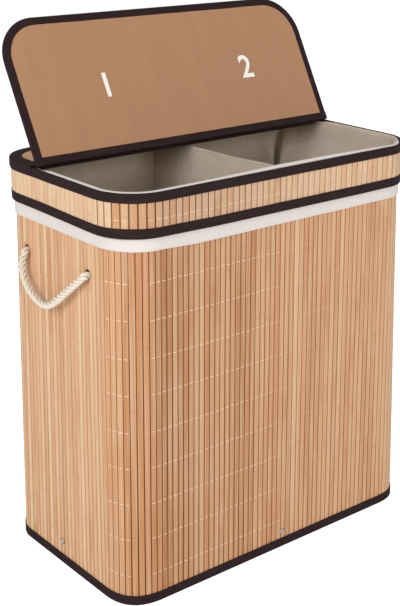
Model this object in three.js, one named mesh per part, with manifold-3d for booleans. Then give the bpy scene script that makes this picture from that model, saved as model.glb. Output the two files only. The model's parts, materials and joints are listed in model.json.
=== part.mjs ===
// Laundry hamper with two bins, its lid's flap standing open.
// A sleeve of sewn bamboo slats stands on a cloth-covered board and holds a washable liner with two bins.
// The lid is a collar of the same slats that slips over the rim. Its rear part is a fixed panel, and its front
// part is a flap on a cloth hinge. A rope handle hangs on each narrow side.
// X runs along the wide side, Y to the back and Z up from the floor. Lengths are in millimetres.
import * as THREE from "three";
import { mergeVertices } from "three/addons/utils/BufferGeometryUtils.js";
import Module from "manifold-3d";

const wasm = await Module();
wasm.setup();

// Clearances
const seat = 0.3; // between two pieces that lie against each other
const overrun = 20; // how far a cutting solid runs past what it cuts

// Sleeve of slats, measured on its outside under the lid
const bodyWidth = 550;
const bodyDepth = 311.6;
const cornerRadius = 59.5;
const rimHeight = 605; // top of the lid's collar and of the liner's fold
const baseFlare = 8; // how far each side spreads from the cuff down to the foot
const slatPitch = 9.2;
const slatThickness = 3;
const grooveDepth = 1.1;
const grooveWidth = 1.6;
const backingThickness = 0.8;
const edgeTapeThickness = 0.8;
const edgeTapeHeight = 34;

// Binding round the sleeve's foot
const footTape = 1.2;
const footBindingHeight = 15;
const footBindingInside = 12;
const bindingChamfer = 0.4;

// Liner: a bag with a middle wall, hung from a cuff that folds over the rim
const cuffThickness = 1;
const cuffDrop = 79;
const cuffInside = 40;
const bagThickness = 1;
const bagDrop = 4; // from the rim down to the seam between the bag and the cuff
const bagNarrowing = 17; // how far the bag stands in from each narrow side, past the rope's knots
const bagNarrowAbove = 56; // how far above the rope's holes that stretch ends
const bagNarrowBelow = 54; // and how far below them
const bagFootInset = 10.4;
const dividerThickness = 1.6;
const dividerFront = 1.5; // how far the divider's top lies below the rim at its front end
const dividerBack = 3;
const dividerSag = 4.5;

// Base board and its fastening
const coverThickness = 0.8;
const boardThickness = 4;
const tabThickness = 0.8;
const tabWidth = 26;
const tabLength = 45;
const tabMargin = 9; // above the rivet
const rivetHeight = 24; // in the front and the back
const rivetSideHeight = 35; // in the narrow sides
const rivetAside = 9.2; // from the middle of its side
const rivetShank = 4;
const rivetHead = 10;
const rivetHeadHeight = 2.4;
const rivetEdge = 0.8;
const rivetTail = 9;
const rivetTailThickness = 0.8;
const rivetPlay = 0.3;

// Rope handles: both ends pass through the side and are knotted inside
const ropeDiameter = 11.5;
const ropeHolePlay = 0.5;
const ropeSpan = 156; // between the two holes of one handle
const ropeDrop = 60; // from the collar's foot down to the holes
const ropeStandoff = 8; // from the slats to the middle of the bend outside the hole
const knotWidth = 22;
const knotDepth = 15;

// Collar of the lid
const collarHeight = 61;
const collarTape = 0.6;
const collarLining = 0.4;
const collarSlat = 1.8;
const collarGroove = 0.7;
const collarPitch = 10.8;
const collarTopBinding = 13;
const collarFootBinding = 14;

// Plates of the lid: the fixed panel at the back and the flap in front
const flapOverhang = 2.4; // past the sleeve's slats; the panel reaches out as far as the collar
const plateTape = 0.5;
const plateBinding = 11.5;
const plateSlat = 1.5;
const plateBoard = 1.4;
const plateLining = 0.3;
const plateGroove = 0.6;
const hingeY = 50;
const flapOpening = 119; // degrees from closed
const hingeTapeWidth = 8;
const hingeTapeThickness = 0.5;
const hingeTapeInset = 6;

// Facets
const cornerSag = 0.22; // the most that a facet of a rounded corner lies inside its arc
const cornerSteps = Math.ceil(Math.PI / 4 / Math.acos(1 - cornerSag / (cornerRadius + footBindingInside / 2)));
const holeSides = 12;
const rivetSides = 12;
const ropeSides = 8;
const ropeSteps = 16;
const knotSides = 10;
const knotRings = 6;
const domeSteps = 3;
const dividerSteps = 8;

const materials = {
  bamboo: new THREE.MeshStandardMaterial({ color: 0xd9b083, roughness: 0.55 }),
  backing: new THREE.MeshStandardMaterial({ color: 0xcfc2a8, roughness: 0.95 }),
  binding: new THREE.MeshStandardMaterial({ color: 0x3c2e2f, roughness: 0.85 }),
  cuff: new THREE.MeshStandardMaterial({ color: 0xe9e4dc, roughness: 0.95 }),
  liner: new THREE.MeshStandardMaterial({ color: 0xc4bba9, roughness: 0.95 }),
  lining: new THREE.MeshStandardMaterial({ color: 0xb48c6c, roughness: 0.9 }),
  board: new THREE.MeshStandardMaterial({ color: 0xa98c66, roughness: 0.8 }),
  rope: new THREE.MeshStandardMaterial({ color: 0xe6dcc6, roughness: 0.9 }),
  steel: new THREE.MeshStandardMaterial({ color: 0xb9b9b6, roughness: 0.3, metalness: 1 }),
};

// Solids

// A closed mesh as a solid whose faces point out.
function toSolid(geometry) {
  const bare = geometry.clone();
  for (const name of Object.keys(bare.attributes)) if (name !== "position") bare.deleteAttribute(name);
  const merged = mergeVertices(bare);
  const vertProperties = new Float32Array(merged.getAttribute("position").array);
  const triVerts = new Uint32Array(merged.getIndex().array);
  const solid = new wasm.Manifold(new wasm.Mesh({ numProp: 3, vertProperties, triVerts }));
  if (solid.volume() > 0) return solid;
  for (let i = 0; i < triVerts.length; i += 3) {
    [triVerts[i + 1], triVerts[i + 2]] = [triVerts[i + 2], triVerts[i + 1]];
  }
  return new wasm.Manifold(new wasm.Mesh({ numProp: 3, vertProperties, triVerts }));
}

function toGeometry(solid) {
  const { numProp, numVert, vertProperties, triVerts } = solid.getMesh();
  const positions = new Float32Array(numVert * 3);
  for (let i = 0; i < numVert; i++) {
    positions.set(vertProperties.subarray(i * numProp, i * numProp + 3), i * 3);
  }
  const geometry = new THREE.BufferGeometry();
  geometry.setAttribute("position", new THREE.BufferAttribute(positions, 3));
  geometry.setIndex(new THREE.BufferAttribute(new Uint32Array(triVerts), 1));
  return geometry;
}

function piece(parent, name, material, solid) {
  const geometry = toGeometry(solid);
  geometry.computeVertexNormals();
  const mesh = new THREE.Mesh(geometry, material);
  mesh.name = name;
  parent.add(mesh);
}

function indexed(points, index) {
  const geometry = new THREE.BufferGeometry();
  geometry.setAttribute("position", new THREE.Float32BufferAttribute(points.flat(), 3));
  geometry.setIndex(index);
  return toSolid(geometry);
}

// A solid through rings of equal count, each counter-clockwise seen from above, from the lowest up.
function loft(rings) {
  const count = rings[0].length;
  const index = [];
  for (let r = 0; r + 1 < rings.length; r++) {
    for (let i = 0; i < count; i++) {
      const a = r * count + i;
      const b = r * count + ((i + 1) % count);
      index.push(a, b, b + count, a, b + count, a + count);
    }
  }
  const flat = (ring) => ring.map(([x, y]) => new THREE.Vector2(x, y));
  const top = (rings.length - 1) * count;
  for (const [a, b, c] of THREE.ShapeUtils.triangulateShape(flat(rings[0]), [])) index.push(c, b, a);
  for (const [a, b, c] of THREE.ShapeUtils.triangulateShape(flat(rings.at(-1)), [])) {
    index.push(top + a, top + b, top + c);
  }
  return indexed(rings.flat(), index);
}

// A ring: a closed section of [offset, height] points, counter-clockwise, carried round the stations.
function band(stations, section) {
  const count = section.length;
  const points = stations.flatMap((s) => section.map(([offset, z]) => [...s.at(offset, z), z]));
  const index = [];
  for (let i = 0; i < stations.length; i++) {
    const next = (i + 1) % stations.length;
    for (let j = 0; j < count; j++) {
      const k = (j + 1) % count;
      const a = i * count + j;
      const b = next * count + j;
      const c = next * count + k;
      index.push(a, b, c, a, c, i * count + k);
    }
  }
  return indexed(points, index);
}

const ringAt = (stations, offset, z) => stations.map((s) => [...s.at(offset, z), z]);

const prism = (stations, offset, low, high) => loft([ringAt(stations, offset, low), ringAt(stations, offset, high)]);

// A round rod between two points.
function rod(start, end, radius, sides) {
  const along = end.clone().sub(start);
  const geometry = new THREE.CylinderGeometry(radius, radius, along.length(), sides);
  const turn = new THREE.Quaternion().setFromUnitVectors(new THREE.Vector3(0, 1, 0), along.normalize());
  geometry.applyQuaternion(turn);
  const middle = start.clone().add(end).divideScalar(2);
  geometry.translate(middle.x, middle.y, middle.z);
  return toSolid(geometry);
}

// A flat outline in the plane of an outward direction and Z, as thick as width, centred on that plane.
function sideExtrusion(outward, outline, width) {
  const shape = new THREE.Shape(outline.map(([out, z]) => new THREE.Vector2(out, z)));
  const geometry = new THREE.ExtrudeGeometry(shape, { depth: width, bevelEnabled: false });
  geometry.translate(0, 0, -width / 2);
  const up = new THREE.Vector3(0, 0, 1);
  geometry.applyMatrix4(new THREE.Matrix4().makeBasis(outward, up, outward.clone().cross(up)));
  return toSolid(geometry);
}

// Outlines

const halfWidth = bodyWidth / 2;
const halfDepth = bodyDepth / 2;
const cuffFoot = rimHeight - cuffDrop;
const collarFoot = rimHeight - collarHeight;
const ropeHeight = collarFoot - ropeDrop;
const footLevel = footTape + seat;

// How far the sleeve has spread at a height: nothing under the cuff, all of baseFlare at the foot.
const flare = (z) => baseFlare * THREE.MathUtils.clamp((cuffFoot - z) / (cuffFoot - footLevel), 0, 1);

// A place on the sleeve's outline: sideX and sideY say where the arc's centre lies, as shares from -1 to 1.
function sleeveStation(sideX, sideY, angle) {
  const nx = Math.cos(angle);
  const ny = Math.sin(angle);
  return {
    at: (offset, z) => [
      sideX * (halfWidth + flare(z) - cornerRadius) + nx * (cornerRadius + offset),
      sideY * (halfDepth + flare(z) - cornerRadius) + ny * (cornerRadius + offset),
    ],
  };
}

const cornerSides = [
  [1, -1],
  [1, 1],
  [-1, 1],
  [-1, -1],
];
const quarterTurn = Math.PI / 2;

const sleeveCorners = cornerSides.flatMap(([sideX, sideY], corner) =>
  Array.from({ length: cornerSteps + 1 }, (_, k) =>
    sleeveStation(sideX, sideY, (corner - 1 + k / cornerSteps) * quarterTurn),
  ),
);

// The station at a share of the way round the outline, from the left end of the front's straight stretch.
function sleeveShare(share) {
  const arc = cornerRadius * quarterTurn;
  const straights = [bodyWidth, bodyDepth, bodyWidth, bodyDepth].map((side) => side - 2 * cornerRadius);
  const round = 2 * (straights[0] + straights[1]) + 4 * arc;
  let left = (((share % 1) + 1) % 1) * round;
  for (let side = 0; side < straights.length; side++) {
    const [endX, endY] = cornerSides[side];
    const [startX, startY] = cornerSides[(side + 3) % 4];
    if (left <= straights[side]) {
      const t = left / straights[side];
      return sleeveStation(startX + (endX - startX) * t, startY + (endY - startY) * t, (side - 1) * quarterTurn);
    }
    left -= straights[side];
    if (left <= arc) return sleeveStation(endX, endY, (side - 1 + left / arc) * quarterTurn);
    left -= arc;
  }
  return sleeveShare(0);
}

// Stations of a grooved outline with slats of about the given pitch; each has its own inset from the face.
function slattedOutline(pitch, width, depth) {
  const round = 2 * (bodyWidth + bodyDepth) - (8 - 2 * Math.PI) * cornerRadius;
  const slats = Math.round(round / pitch);
  const half = width / 2 / round;
  return Array.from({ length: slats }, (_, i) => [
    { station: sleeveShare(i / slats), inset: depth },
    { station: sleeveShare(i / slats + half), inset: 0 },
    { station: sleeveShare((i + 1) / slats - half), inset: 0 },
  ]).flat();
}

const slattedRing = (outline, offset, z) => outline.map(({ station, inset }) => [...station.at(offset - inset, z), z]);

// A tape folded round a lower edge, open at its top, or round an upper edge, open at its foot.
function footFold(inner, outer, low, insideHeight, outsideHeight, tape) {
  return [
    [inner + bindingChamfer, low],
    [outer - bindingChamfer, low],
    [outer, low + bindingChamfer],
    [outer, low + outsideHeight],
    [outer - tape, low + outsideHeight],
    [outer - tape, low + tape],
    [inner + tape, low + tape],
    [inner + tape, low + insideHeight],
    [inner, low + insideHeight],
    [inner, low + bindingChamfer],
  ];
}

function topFold(inner, outer, high, insideHeight, outsideHeight, tape) {
  const flipped = footFold(inner, outer, 0, insideHeight, outsideHeight, tape);
  return flipped.map(([offset, z]) => [offset, high - z]).reverse();
}

const strip = (inner, outer, low, high) => [
  [inner, low],
  [outer, low],
  [outer, high],
  [inner, high],
];

// Layers, as offsets from the slats' outer face
const backingFace = -slatThickness - seat;
const backingBack = backingFace - backingThickness;
const edgeTapeFace = backingBack - seat;
const edgeTapeBack = edgeTapeFace - edgeTapeThickness;
const cuffInner = edgeTapeBack - seat - cuffThickness;
const cuffOuter = seat + cuffThickness;
const bagFace = cuffInner - seat;
const footInner = backingBack - seat - footTape;
const footOuter = seat + footTape;
const baseEdge = footInner - seat;
const wallTop = rimHeight - seat - cuffThickness;

// Heights of the base
const boardFoot = coverThickness + seat;
const boardTop = boardFoot + boardThickness;
const tabFoot = boardTop + seat;
const bagFoot = tabFoot + tabThickness + seat;

const hamper = new THREE.Group();
const body = new THREE.Group();
const lid = new THREE.Group();
const flap = new THREE.Group();
hamper.add(body, lid);
lid.add(flap);

// Places of the rivets and the rope's holes

const along = (axis, sign) => (axis === "x" ? new THREE.Vector3(sign, 0, 0) : new THREE.Vector3(0, sign, 0));

// Each rivet's side, its height, and the direction in which it stands off the middle of that side.
const rivets = [
  { name: "front", outward: along("y", -1), half: halfDepth, height: rivetHeight, aside: along("x", 1) },
  { name: "back", outward: along("y", 1), half: halfDepth, height: rivetHeight, aside: along("x", 1) },
  { name: "left", outward: along("x", -1), half: halfWidth, height: rivetSideHeight, aside: along("y", 1) },
  { name: "right", outward: along("x", 1), half: halfWidth, height: rivetSideHeight, aside: along("y", 1) },
].map((rivet) => {
  const face = rivet.outward.clone().multiplyScalar(rivet.half + flare(rivet.height));
  face.addScaledVector(rivet.aside, rivetAside);
  face.z = rivet.height;
  return { ...rivet, face };
});

const ropeEnds = [
  { side: "left", sign: -1 },
  { side: "right", sign: 1 },
].flatMap(({ side, sign }) =>
  [
    { end: "front", y: -ropeSpan / 2 },
    { end: "back", y: ropeSpan / 2 },
  ].map(({ end, y }) => {
    const face = new THREE.Vector3(sign * (halfWidth + flare(ropeHeight)), y, ropeHeight);
    return { name: side + "_" + end, outward: along("x", sign), face };
  }),
);

// A rod along a place's outward direction between two offsets from the slats' face.
function rodAt(place, from, to, radius, sides) {
  const point = (offset) => place.face.clone().addScaledVector(place.outward, offset);
  return rod(point(from), point(to), radius, sides);
}

const rivetHoles = rivets.map((r) => rodAt(r, -overrun, overrun, rivetShank / 2 + rivetPlay, holeSides));
const ropeHoles = ropeEnds.map((r) => rodAt(r, -overrun, overrun, ropeDiameter / 2 + ropeHolePlay, holeSides));

const without = (solid, cuts) => cuts.reduce((rest, cut) => rest.subtract(cut), solid);

// Sleeve

const sleeveOutline = slattedOutline(slatPitch, grooveWidth, grooveDepth);
const sleeveLevels = [footLevel, cuffFoot, wallTop];
const sleeveOuter = loft(sleeveLevels.map((z) => slattedRing(sleeveOutline, 0, z)));
const sleeveInner = loft(
  [footLevel - overrun, footLevel, cuffFoot, wallTop + overrun].map((z) => ringAt(sleeveCorners, -slatThickness, z)),
);
piece(body, "slat_wall", materials.bamboo, without(sleeveOuter, [sleeveInner, ...rivetHoles, ...ropeHoles]));

const backingSection = [
  [backingBack, footLevel],
  [backingFace, footLevel],
  [backingFace, cuffFoot],
  [backingFace, wallTop],
  [backingBack, wallTop],
  [backingBack, cuffFoot],
];
piece(
  body,
  "wall_backing",
  materials.backing,
  without(band(sleeveCorners, backingSection), [...rivetHoles, ...ropeHoles]),
);

piece(
  body,
  "wall_edge_tape",
  materials.binding,
  band(sleeveCorners, strip(edgeTapeBack, edgeTapeFace, wallTop - edgeTapeHeight, wallTop)),
);

piece(
  body,
  "bottom_binding",
  materials.binding,
  band(sleeveCorners, footFold(footInner, footOuter, 0, footBindingInside, footBindingHeight, footTape)),
);

// Base: both sheets keep the foot's outline

const footOutline = sleeveCorners.map((s) => ({ at: (offset) => s.at(offset, footLevel) }));
piece(body, "base_cover", materials.binding, prism(footOutline, baseEdge, 0, coverThickness));
piece(body, "base_board", materials.board, prism(footOutline, baseEdge, boardFoot, boardTop));

// Webbing tabs hold the board's edge to the sleeve: each lies on the board and climbs the wall to its rivet.
function tab(rivet) {
  const out = (z) => rivet.half + flare(z) + baseEdge;
  const tabTop = rivet.height + tabMargin;
  const start = out(tabFoot) - tabLength;
  const outline = [
    [start, tabFoot],
    [out(tabFoot), tabFoot],
    [out(tabTop), tabTop],
    [out(tabTop) - tabThickness, tabTop],
    [out(tabFoot + tabThickness) - tabThickness, tabFoot + tabThickness],
    [start, tabFoot + tabThickness],
  ];
  const shift = rivet.aside.clone().multiplyScalar(rivetAside).toArray();
  return without(sideExtrusion(rivet.outward, outline, tabWidth).translate(shift), rivetHoles);
}

function rivetSolid(rivet) {
  const tailFace = baseEdge - tabThickness - seat;
  const tailBack = tailFace - rivetTailThickness;
  const shank = rivetShank / 2;
  const head = rivetHead / 2;
  const tail = rivetTail / 2;
  const dome = Array.from({ length: domeSteps }, (_, k) => {
    const angle = (k / domeSteps) * quarterTurn;
    return [head * Math.cos(angle), seat + rivetEdge + (rivetHeadHeight - rivetEdge) * Math.sin(angle)];
  });
  const outline = [
    [0, tailBack],
    [tail, tailBack],
    [tail, tailFace],
    [shank, tailFace],
    [shank, seat],
    [head, seat],
    ...dome,
    [0, seat + rivetHeadHeight],
  ];
  const geometry = new THREE.LatheGeometry(
    outline.map(([r, h]) => new THREE.Vector2(r, h)),
    rivetSides,
  );
  geometry.applyQuaternion(new THREE.Quaternion().setFromUnitVectors(new THREE.Vector3(0, 1, 0), rivet.outward));
  geometry.translate(rivet.face.x, rivet.face.y, rivet.face.z);
  return toSolid(geometry);
}

for (const rivet of rivets) {
  piece(body, "base_tab_" + rivet.name, materials.binding, tab(rivet));
  piece(body, "base_rivet_" + rivet.name, materials.steel, rivetSolid(rivet));
}

// Liner

// The bag's levels: its height, how far its face stands in from the slats, and its narrowing at each side.
const bagTop = rimHeight - bagDrop;
const bagLevels = [
  { z: bagFoot, inset: bagFootInset, narrowing: 0 },
  { z: ropeHeight - bagNarrowBelow, inset: -bagFace, narrowing: bagNarrowing },
  { z: ropeHeight + bagNarrowAbove, inset: -bagFace, narrowing: bagNarrowing },
  { z: bagTop, inset: -bagFace, narrowing: 0 },
];

const bagHalfDepth = (level) => halfDepth + flare(level.z) - level.inset;

function bagRing(level, thickness, z) {
  return sleeveCorners.map((s, i) => {
    const sideX = cornerSides[Math.floor(i / (cornerSteps + 1))][0];
    const [x, y] = s.at(-level.inset - thickness, level.z);
    return [x - sideX * level.narrowing, y, z];
  });
}

const bagOuter = loft(bagLevels.map((level) => bagRing(level, 0, level.z)));
const bagInner = loft([
  bagRing(bagLevels[0], bagThickness, bagFoot + bagThickness),
  ...bagLevels.slice(1).map((level) => bagRing(level, bagThickness, level.z)),
  bagRing(bagLevels.at(-1), bagThickness, bagTop + overrun),
]);
piece(body, "liner_bag", materials.liner, bagOuter.subtract(bagInner));

piece(
  body,
  "liner_cuff",
  materials.cuff,
  band(sleeveCorners, topFold(cuffInner, cuffOuter, rimHeight, cuffInside, cuffDrop, cuffThickness)),
);

// The divider follows the bag's front and back, and its top edge sags between them.
function divider() {
  const edge = bagThickness + seat;
  const foot = bagFoot + bagThickness + seat;
  const levels = bagLevels.map((level, i) => [bagHalfDepth(level) - edge, i ? level.z : foot]);
  const [topY] = levels.at(-1);
  const frontZ = rimHeight - dividerFront;
  const backZ = rimHeight - dividerBack;
  const lowest = rimHeight - dividerSag;
  const control = 2 * lowest - (frontZ + backZ) / 2;
  const topEdge = new THREE.QuadraticBezierCurve(
    new THREE.Vector2(topY, backZ),
    new THREE.Vector2(0, control),
    new THREE.Vector2(-topY, frontZ),
  );
  const outline = [
    ...levels,
    ...topEdge.getPoints(dividerSteps).map((p) => [p.x, p.y]),
    ...levels.map(([y, z]) => [-y, z]).reverse(),
  ];
  return sideExtrusion(along("y", 1), outline, dividerThickness);
}
piece(body, "liner_divider", materials.liner, divider());

// Rope handles

// Each end of a rope: a knot behind the wall, the stretch through the hole and the bend outside it.
function ropeEnd(place) {
  const radius = ropeDiameter / 2;
  const knotMiddle = backingBack - seat - knotDepth / 2;
  const lump = (offset, length, width, sides, rings) => {
    const geometry = new THREE.SphereGeometry(1, sides, rings);
    geometry.scale(length / 2, width / 2, width / 2);
    const middle = place.face.clone().addScaledVector(place.outward, offset);
    geometry.translate(middle.x, middle.y, middle.z);
    return toSolid(geometry);
  };
  const knot = lump(knotMiddle, knotDepth, knotWidth, knotSides, knotRings);
  const bend = lump(ropeStandoff, ropeDiameter, ropeDiameter, knotSides, knotRings);
  return rodAt(place, knotMiddle, ropeStandoff, radius, ropeSides).add(knot).add(bend);
}
for (const place of ropeEnds) piece(body, "rope_end_" + place.name, materials.rope, ropeEnd(place));

// The left handle's hanging loop from its back end to its front end; the right one is its mirror image.
const ropeRoute = [
  [-283.6, 78.0, 477.9],
  [-285.2, 80.4, 470.0],
  [-287.8, 79.6, 458.5],
  [-290.4, 73.4, 447.4],
  [-292.6, 63.4, 437.8],
  [-294.5, 49.6, 429.6],
  [-295.9, 33.4, 423.4],
  [-296.7, 17.0, 420.0],
  [-296.5, 2.6, 420.6],
  [-295.3, -10.4, 426.6],
  [-293.2, -23.8, 437.0],
  [-290.8, -38.0, 449.4],
  [-288.4, -52.4, 461.8],
  [-285.9, -66.0, 473.4],
  [-284.2, -73.6, 479.8],
];

function ropeLoop(sign) {
  const curve = new THREE.CatmullRomCurve3(ropeRoute.map(([x, y, z]) => new THREE.Vector3(-sign * x, y, z)));
  const section = new THREE.Shape();
  for (let i = 0; i < ropeSides; i++) {
    const angle = (i / ropeSides) * 4 * quarterTurn;
    const point = [(ropeDiameter / 2) * Math.cos(angle), (ropeDiameter / 2) * Math.sin(angle)];
    if (i) section.lineTo(...point);
    else section.moveTo(...point);
  }
  return toSolid(new THREE.ExtrudeGeometry(section, { steps: ropeSteps, extrudePath: curve }));
}
piece(hamper, "rope_handle_left", materials.rope, ropeLoop(-1));
piece(hamper, "rope_handle_right", materials.rope, ropeLoop(1));

// Collar of the lid, from the inside out

const collarInner = cuffOuter + seat;
const liningFace = collarInner + collarTape + seat;
const collarSlatBack = liningFace + collarLining + seat;
const collarFace = collarSlatBack + collarSlat;
const collarOuter = collarFace + seat + collarTape;
const collarLow = collarFoot + collarTape + seat;
const collarHigh = rimHeight - collarTape - seat;

const collarOutline = slattedOutline(collarPitch, grooveWidth, collarGroove);
const collarSlats = loft([collarLow, collarHigh].map((z) => slattedRing(collarOutline, collarFace, z)));
piece(
  lid,
  "collar_slats",
  materials.bamboo,
  collarSlats.subtract(prism(sleeveCorners, collarSlatBack, collarLow - overrun, collarHigh + overrun)),
);
piece(
  lid,
  "collar_lining",
  materials.lining,
  band(sleeveCorners, strip(liningFace, liningFace + collarLining, collarLow, collarHigh)),
);
piece(
  lid,
  "collar_top_binding",
  materials.binding,
  band(sleeveCorners, topFold(collarInner, collarOuter, rimHeight, collarTopBinding, collarTopBinding, collarTape)),
);
piece(
  lid,
  "collar_bottom_binding",
  materials.binding,
  band(
    sleeveCorners,
    footFold(collarInner, collarOuter, collarFoot, collarFootBinding, collarFootBinding, collarTape),
  ),
);

// Plates: a bound sandwich of slats, board and lining, with its top face at height zero

const plateThickness = 2 * plateTape + 4 * seat + plateSlat + plateBoard + plateLining;
const plateInset = plateTape + seat; // from the bound edge to the sheets inside

// A plate that runs from a straight edge at nearY to a rounded edge at farY, past the slats by its overhang.
function plateOutline(overhang, nearY, farY) {
  const direction = Math.sign(farY - nearY);
  const plateHalfWidth = halfWidth + overhang;
  const plateRadius = cornerRadius + overhang;
  const square = (sideX) => ({
    at: (offset) => [sideX * (plateHalfWidth + offset), nearY - direction * offset],
  });
  const rounded = (sideX) =>
    Array.from({ length: cornerSteps + 1 }, (_, k) => {
      const angle = (k / cornerSteps) * quarterTurn;
      return {
        at: (offset) => [
          sideX * (plateHalfWidth - plateRadius + (plateRadius + offset) * Math.cos(angle)),
          farY - direction * plateRadius + direction * (plateRadius + offset) * Math.sin(angle),
        ],
      };
    });
  const stations = [square(-1), square(1), ...rounded(1), ...rounded(-1).reverse()];
  return direction > 0 ? stations : stations.reverse();
}

const plateSection = [
  [-plateBinding, -plateThickness],
  [-bindingChamfer, -plateThickness],
  [0, -plateThickness + bindingChamfer],
  [0, -bindingChamfer],
  [-bindingChamfer, 0],
  [-plateBinding, 0],
  [-plateBinding, -plateTape],
  [-plateTape, -plateTape],
  [-plateTape, -plateThickness + plateTape],
  [-plateBinding, -plateThickness + plateTape],
];

// Grooves between slats that run along X, cut from above.
function plateGrooves(nearY, farY, top) {
  const low = Math.min(nearY, farY) + plateBinding;
  const high = Math.max(nearY, farY) - plateBinding;
  const count = Math.floor((high - low) / slatPitch);
  const first = (low + high) / 2 - (count / 2) * slatPitch;
  const length = bodyWidth + 2 * overrun;
  return Array.from({ length: count + 1 }, (_, i) => {
    const y = first + i * slatPitch;
    const outline = [
      [y - grooveWidth, top + plateGroove],
      [y, top - plateGroove],
      [y + grooveWidth, top + plateGroove],
    ];
    return sideExtrusion(along("y", 1), outline, length);
  });
}

function plate(parent, name, overhang, nearY, farY) {
  const outline = plateOutline(overhang, nearY, farY);
  const slatTop = -plateTape - seat;
  const boardHigh = slatTop - plateSlat - seat;
  const liningHigh = boardHigh - plateBoard - seat;
  const slats = prism(outline, -plateInset, slatTop - plateSlat, slatTop);
  piece(parent, name + "_slats", materials.bamboo, without(slats, plateGrooves(nearY, farY, slatTop)));
  piece(parent, name + "_board", materials.board, prism(outline, -plateInset, boardHigh - plateBoard, boardHigh));
  piece(parent, name + "_lining", materials.lining, prism(outline, -plateInset, liningHigh - plateLining, liningHigh));
  piece(parent, name + "_binding", materials.binding, band(outline, plateSection));
}

const hingeZ = rimHeight + seat + plateThickness;

const panel = new THREE.Group();
panel.position.z = hingeZ;
lid.add(panel);
plate(panel, "rear_panel", collarOuter, hingeY + seat / 2, halfDepth + collarOuter);

const hingeTape = [
  [hingeY + hingeTapeInset, seat],
  [hingeY + hingeTapeInset + hingeTapeWidth, seat],
  [hingeY + hingeTapeInset + hingeTapeWidth, seat + hingeTapeThickness],
  [hingeY + hingeTapeInset, seat + hingeTapeThickness],
];
const hingeTapeLength = 2 * (halfWidth + flapOverhang - plateBinding);
piece(panel, "hinge_tape", materials.binding, sideExtrusion(along("y", 1), hingeTape, hingeTapeLength));

// The flap is made lying closed, with the hinge's line at its group's origin.
flap.position.set(0, hingeY, hingeZ);
flap.rotation.x = -THREE.MathUtils.degToRad(flapOpening);
plate(flap, "flap", flapOverhang, -seat / 2, -halfDepth - flapOverhang - hingeY);

export default hamper;
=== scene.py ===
"""The looks of a laundry hamper with two bins: sewn bamboo slats, woven tapes, cloth liner and rope handles.

Lengths are in metres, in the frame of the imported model: X along the wide side, Y to the back, Z up.
"""
import json
import math
import random
from collections import namedtuple

import bmesh
import bpy
import numpy as np
from mathutils import Matrix, Vector, noise

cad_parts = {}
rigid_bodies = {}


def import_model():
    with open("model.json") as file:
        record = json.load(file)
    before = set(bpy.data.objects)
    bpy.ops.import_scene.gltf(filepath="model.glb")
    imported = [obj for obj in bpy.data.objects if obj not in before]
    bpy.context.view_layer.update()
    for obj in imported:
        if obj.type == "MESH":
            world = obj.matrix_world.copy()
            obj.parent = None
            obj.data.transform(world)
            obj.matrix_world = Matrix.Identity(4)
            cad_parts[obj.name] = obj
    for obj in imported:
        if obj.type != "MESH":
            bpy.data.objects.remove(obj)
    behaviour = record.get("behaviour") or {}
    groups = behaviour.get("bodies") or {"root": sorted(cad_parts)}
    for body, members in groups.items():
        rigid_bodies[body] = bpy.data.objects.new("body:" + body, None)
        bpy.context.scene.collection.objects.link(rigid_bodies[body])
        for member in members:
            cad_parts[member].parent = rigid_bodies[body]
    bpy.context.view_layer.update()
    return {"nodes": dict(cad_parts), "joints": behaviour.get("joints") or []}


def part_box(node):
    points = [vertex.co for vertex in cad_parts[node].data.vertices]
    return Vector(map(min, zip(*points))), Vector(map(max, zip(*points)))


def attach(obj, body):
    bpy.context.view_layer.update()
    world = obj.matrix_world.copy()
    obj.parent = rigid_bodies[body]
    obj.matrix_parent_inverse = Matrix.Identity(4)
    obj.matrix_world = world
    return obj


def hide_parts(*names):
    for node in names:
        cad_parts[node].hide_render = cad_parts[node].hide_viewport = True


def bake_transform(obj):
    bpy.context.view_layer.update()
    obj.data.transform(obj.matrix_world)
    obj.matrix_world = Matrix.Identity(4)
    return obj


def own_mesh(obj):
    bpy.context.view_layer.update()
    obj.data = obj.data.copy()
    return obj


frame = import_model()
random.seed(17)

MM = 0.001

# Camera, as fitted to the photograph
CAMERA_PLACE = Vector((-1121.9, -1363.8, 996.4)) * MM
CAMERA_YAW = math.radians(38.82)  # to the right of +Y
CAMERA_PITCH = math.radians(19.86)  # downwards
CAMERA_ROLL = math.radians(0.18)
CAMERA_CLIP = (0.05, 50.0)
FOCAL_PIXELS = 1206.81
PICTURE_HEIGHT = 606
SENSOR = 36.0

# The sleeve, measured on the slats' outer face
SIDES = ("front", "right", "back", "left")
CUFF_STANDOFF = 1.3 * MM
CORNER_RADIUS = 59.5 * MM
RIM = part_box("liner_cuff")[1].z
CUFF_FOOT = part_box("liner_cuff")[0].z
WALL_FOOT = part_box("slat_wall")[0].z
HALF_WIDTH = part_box("liner_cuff")[1].x - CUFF_STANDOFF
HALF_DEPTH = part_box("liner_cuff")[1].y - CUFF_STANDOFF
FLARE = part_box("slat_wall")[1].x - HALF_WIDTH
COLLAR_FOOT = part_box("collar_bottom_binding")[0].z

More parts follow.
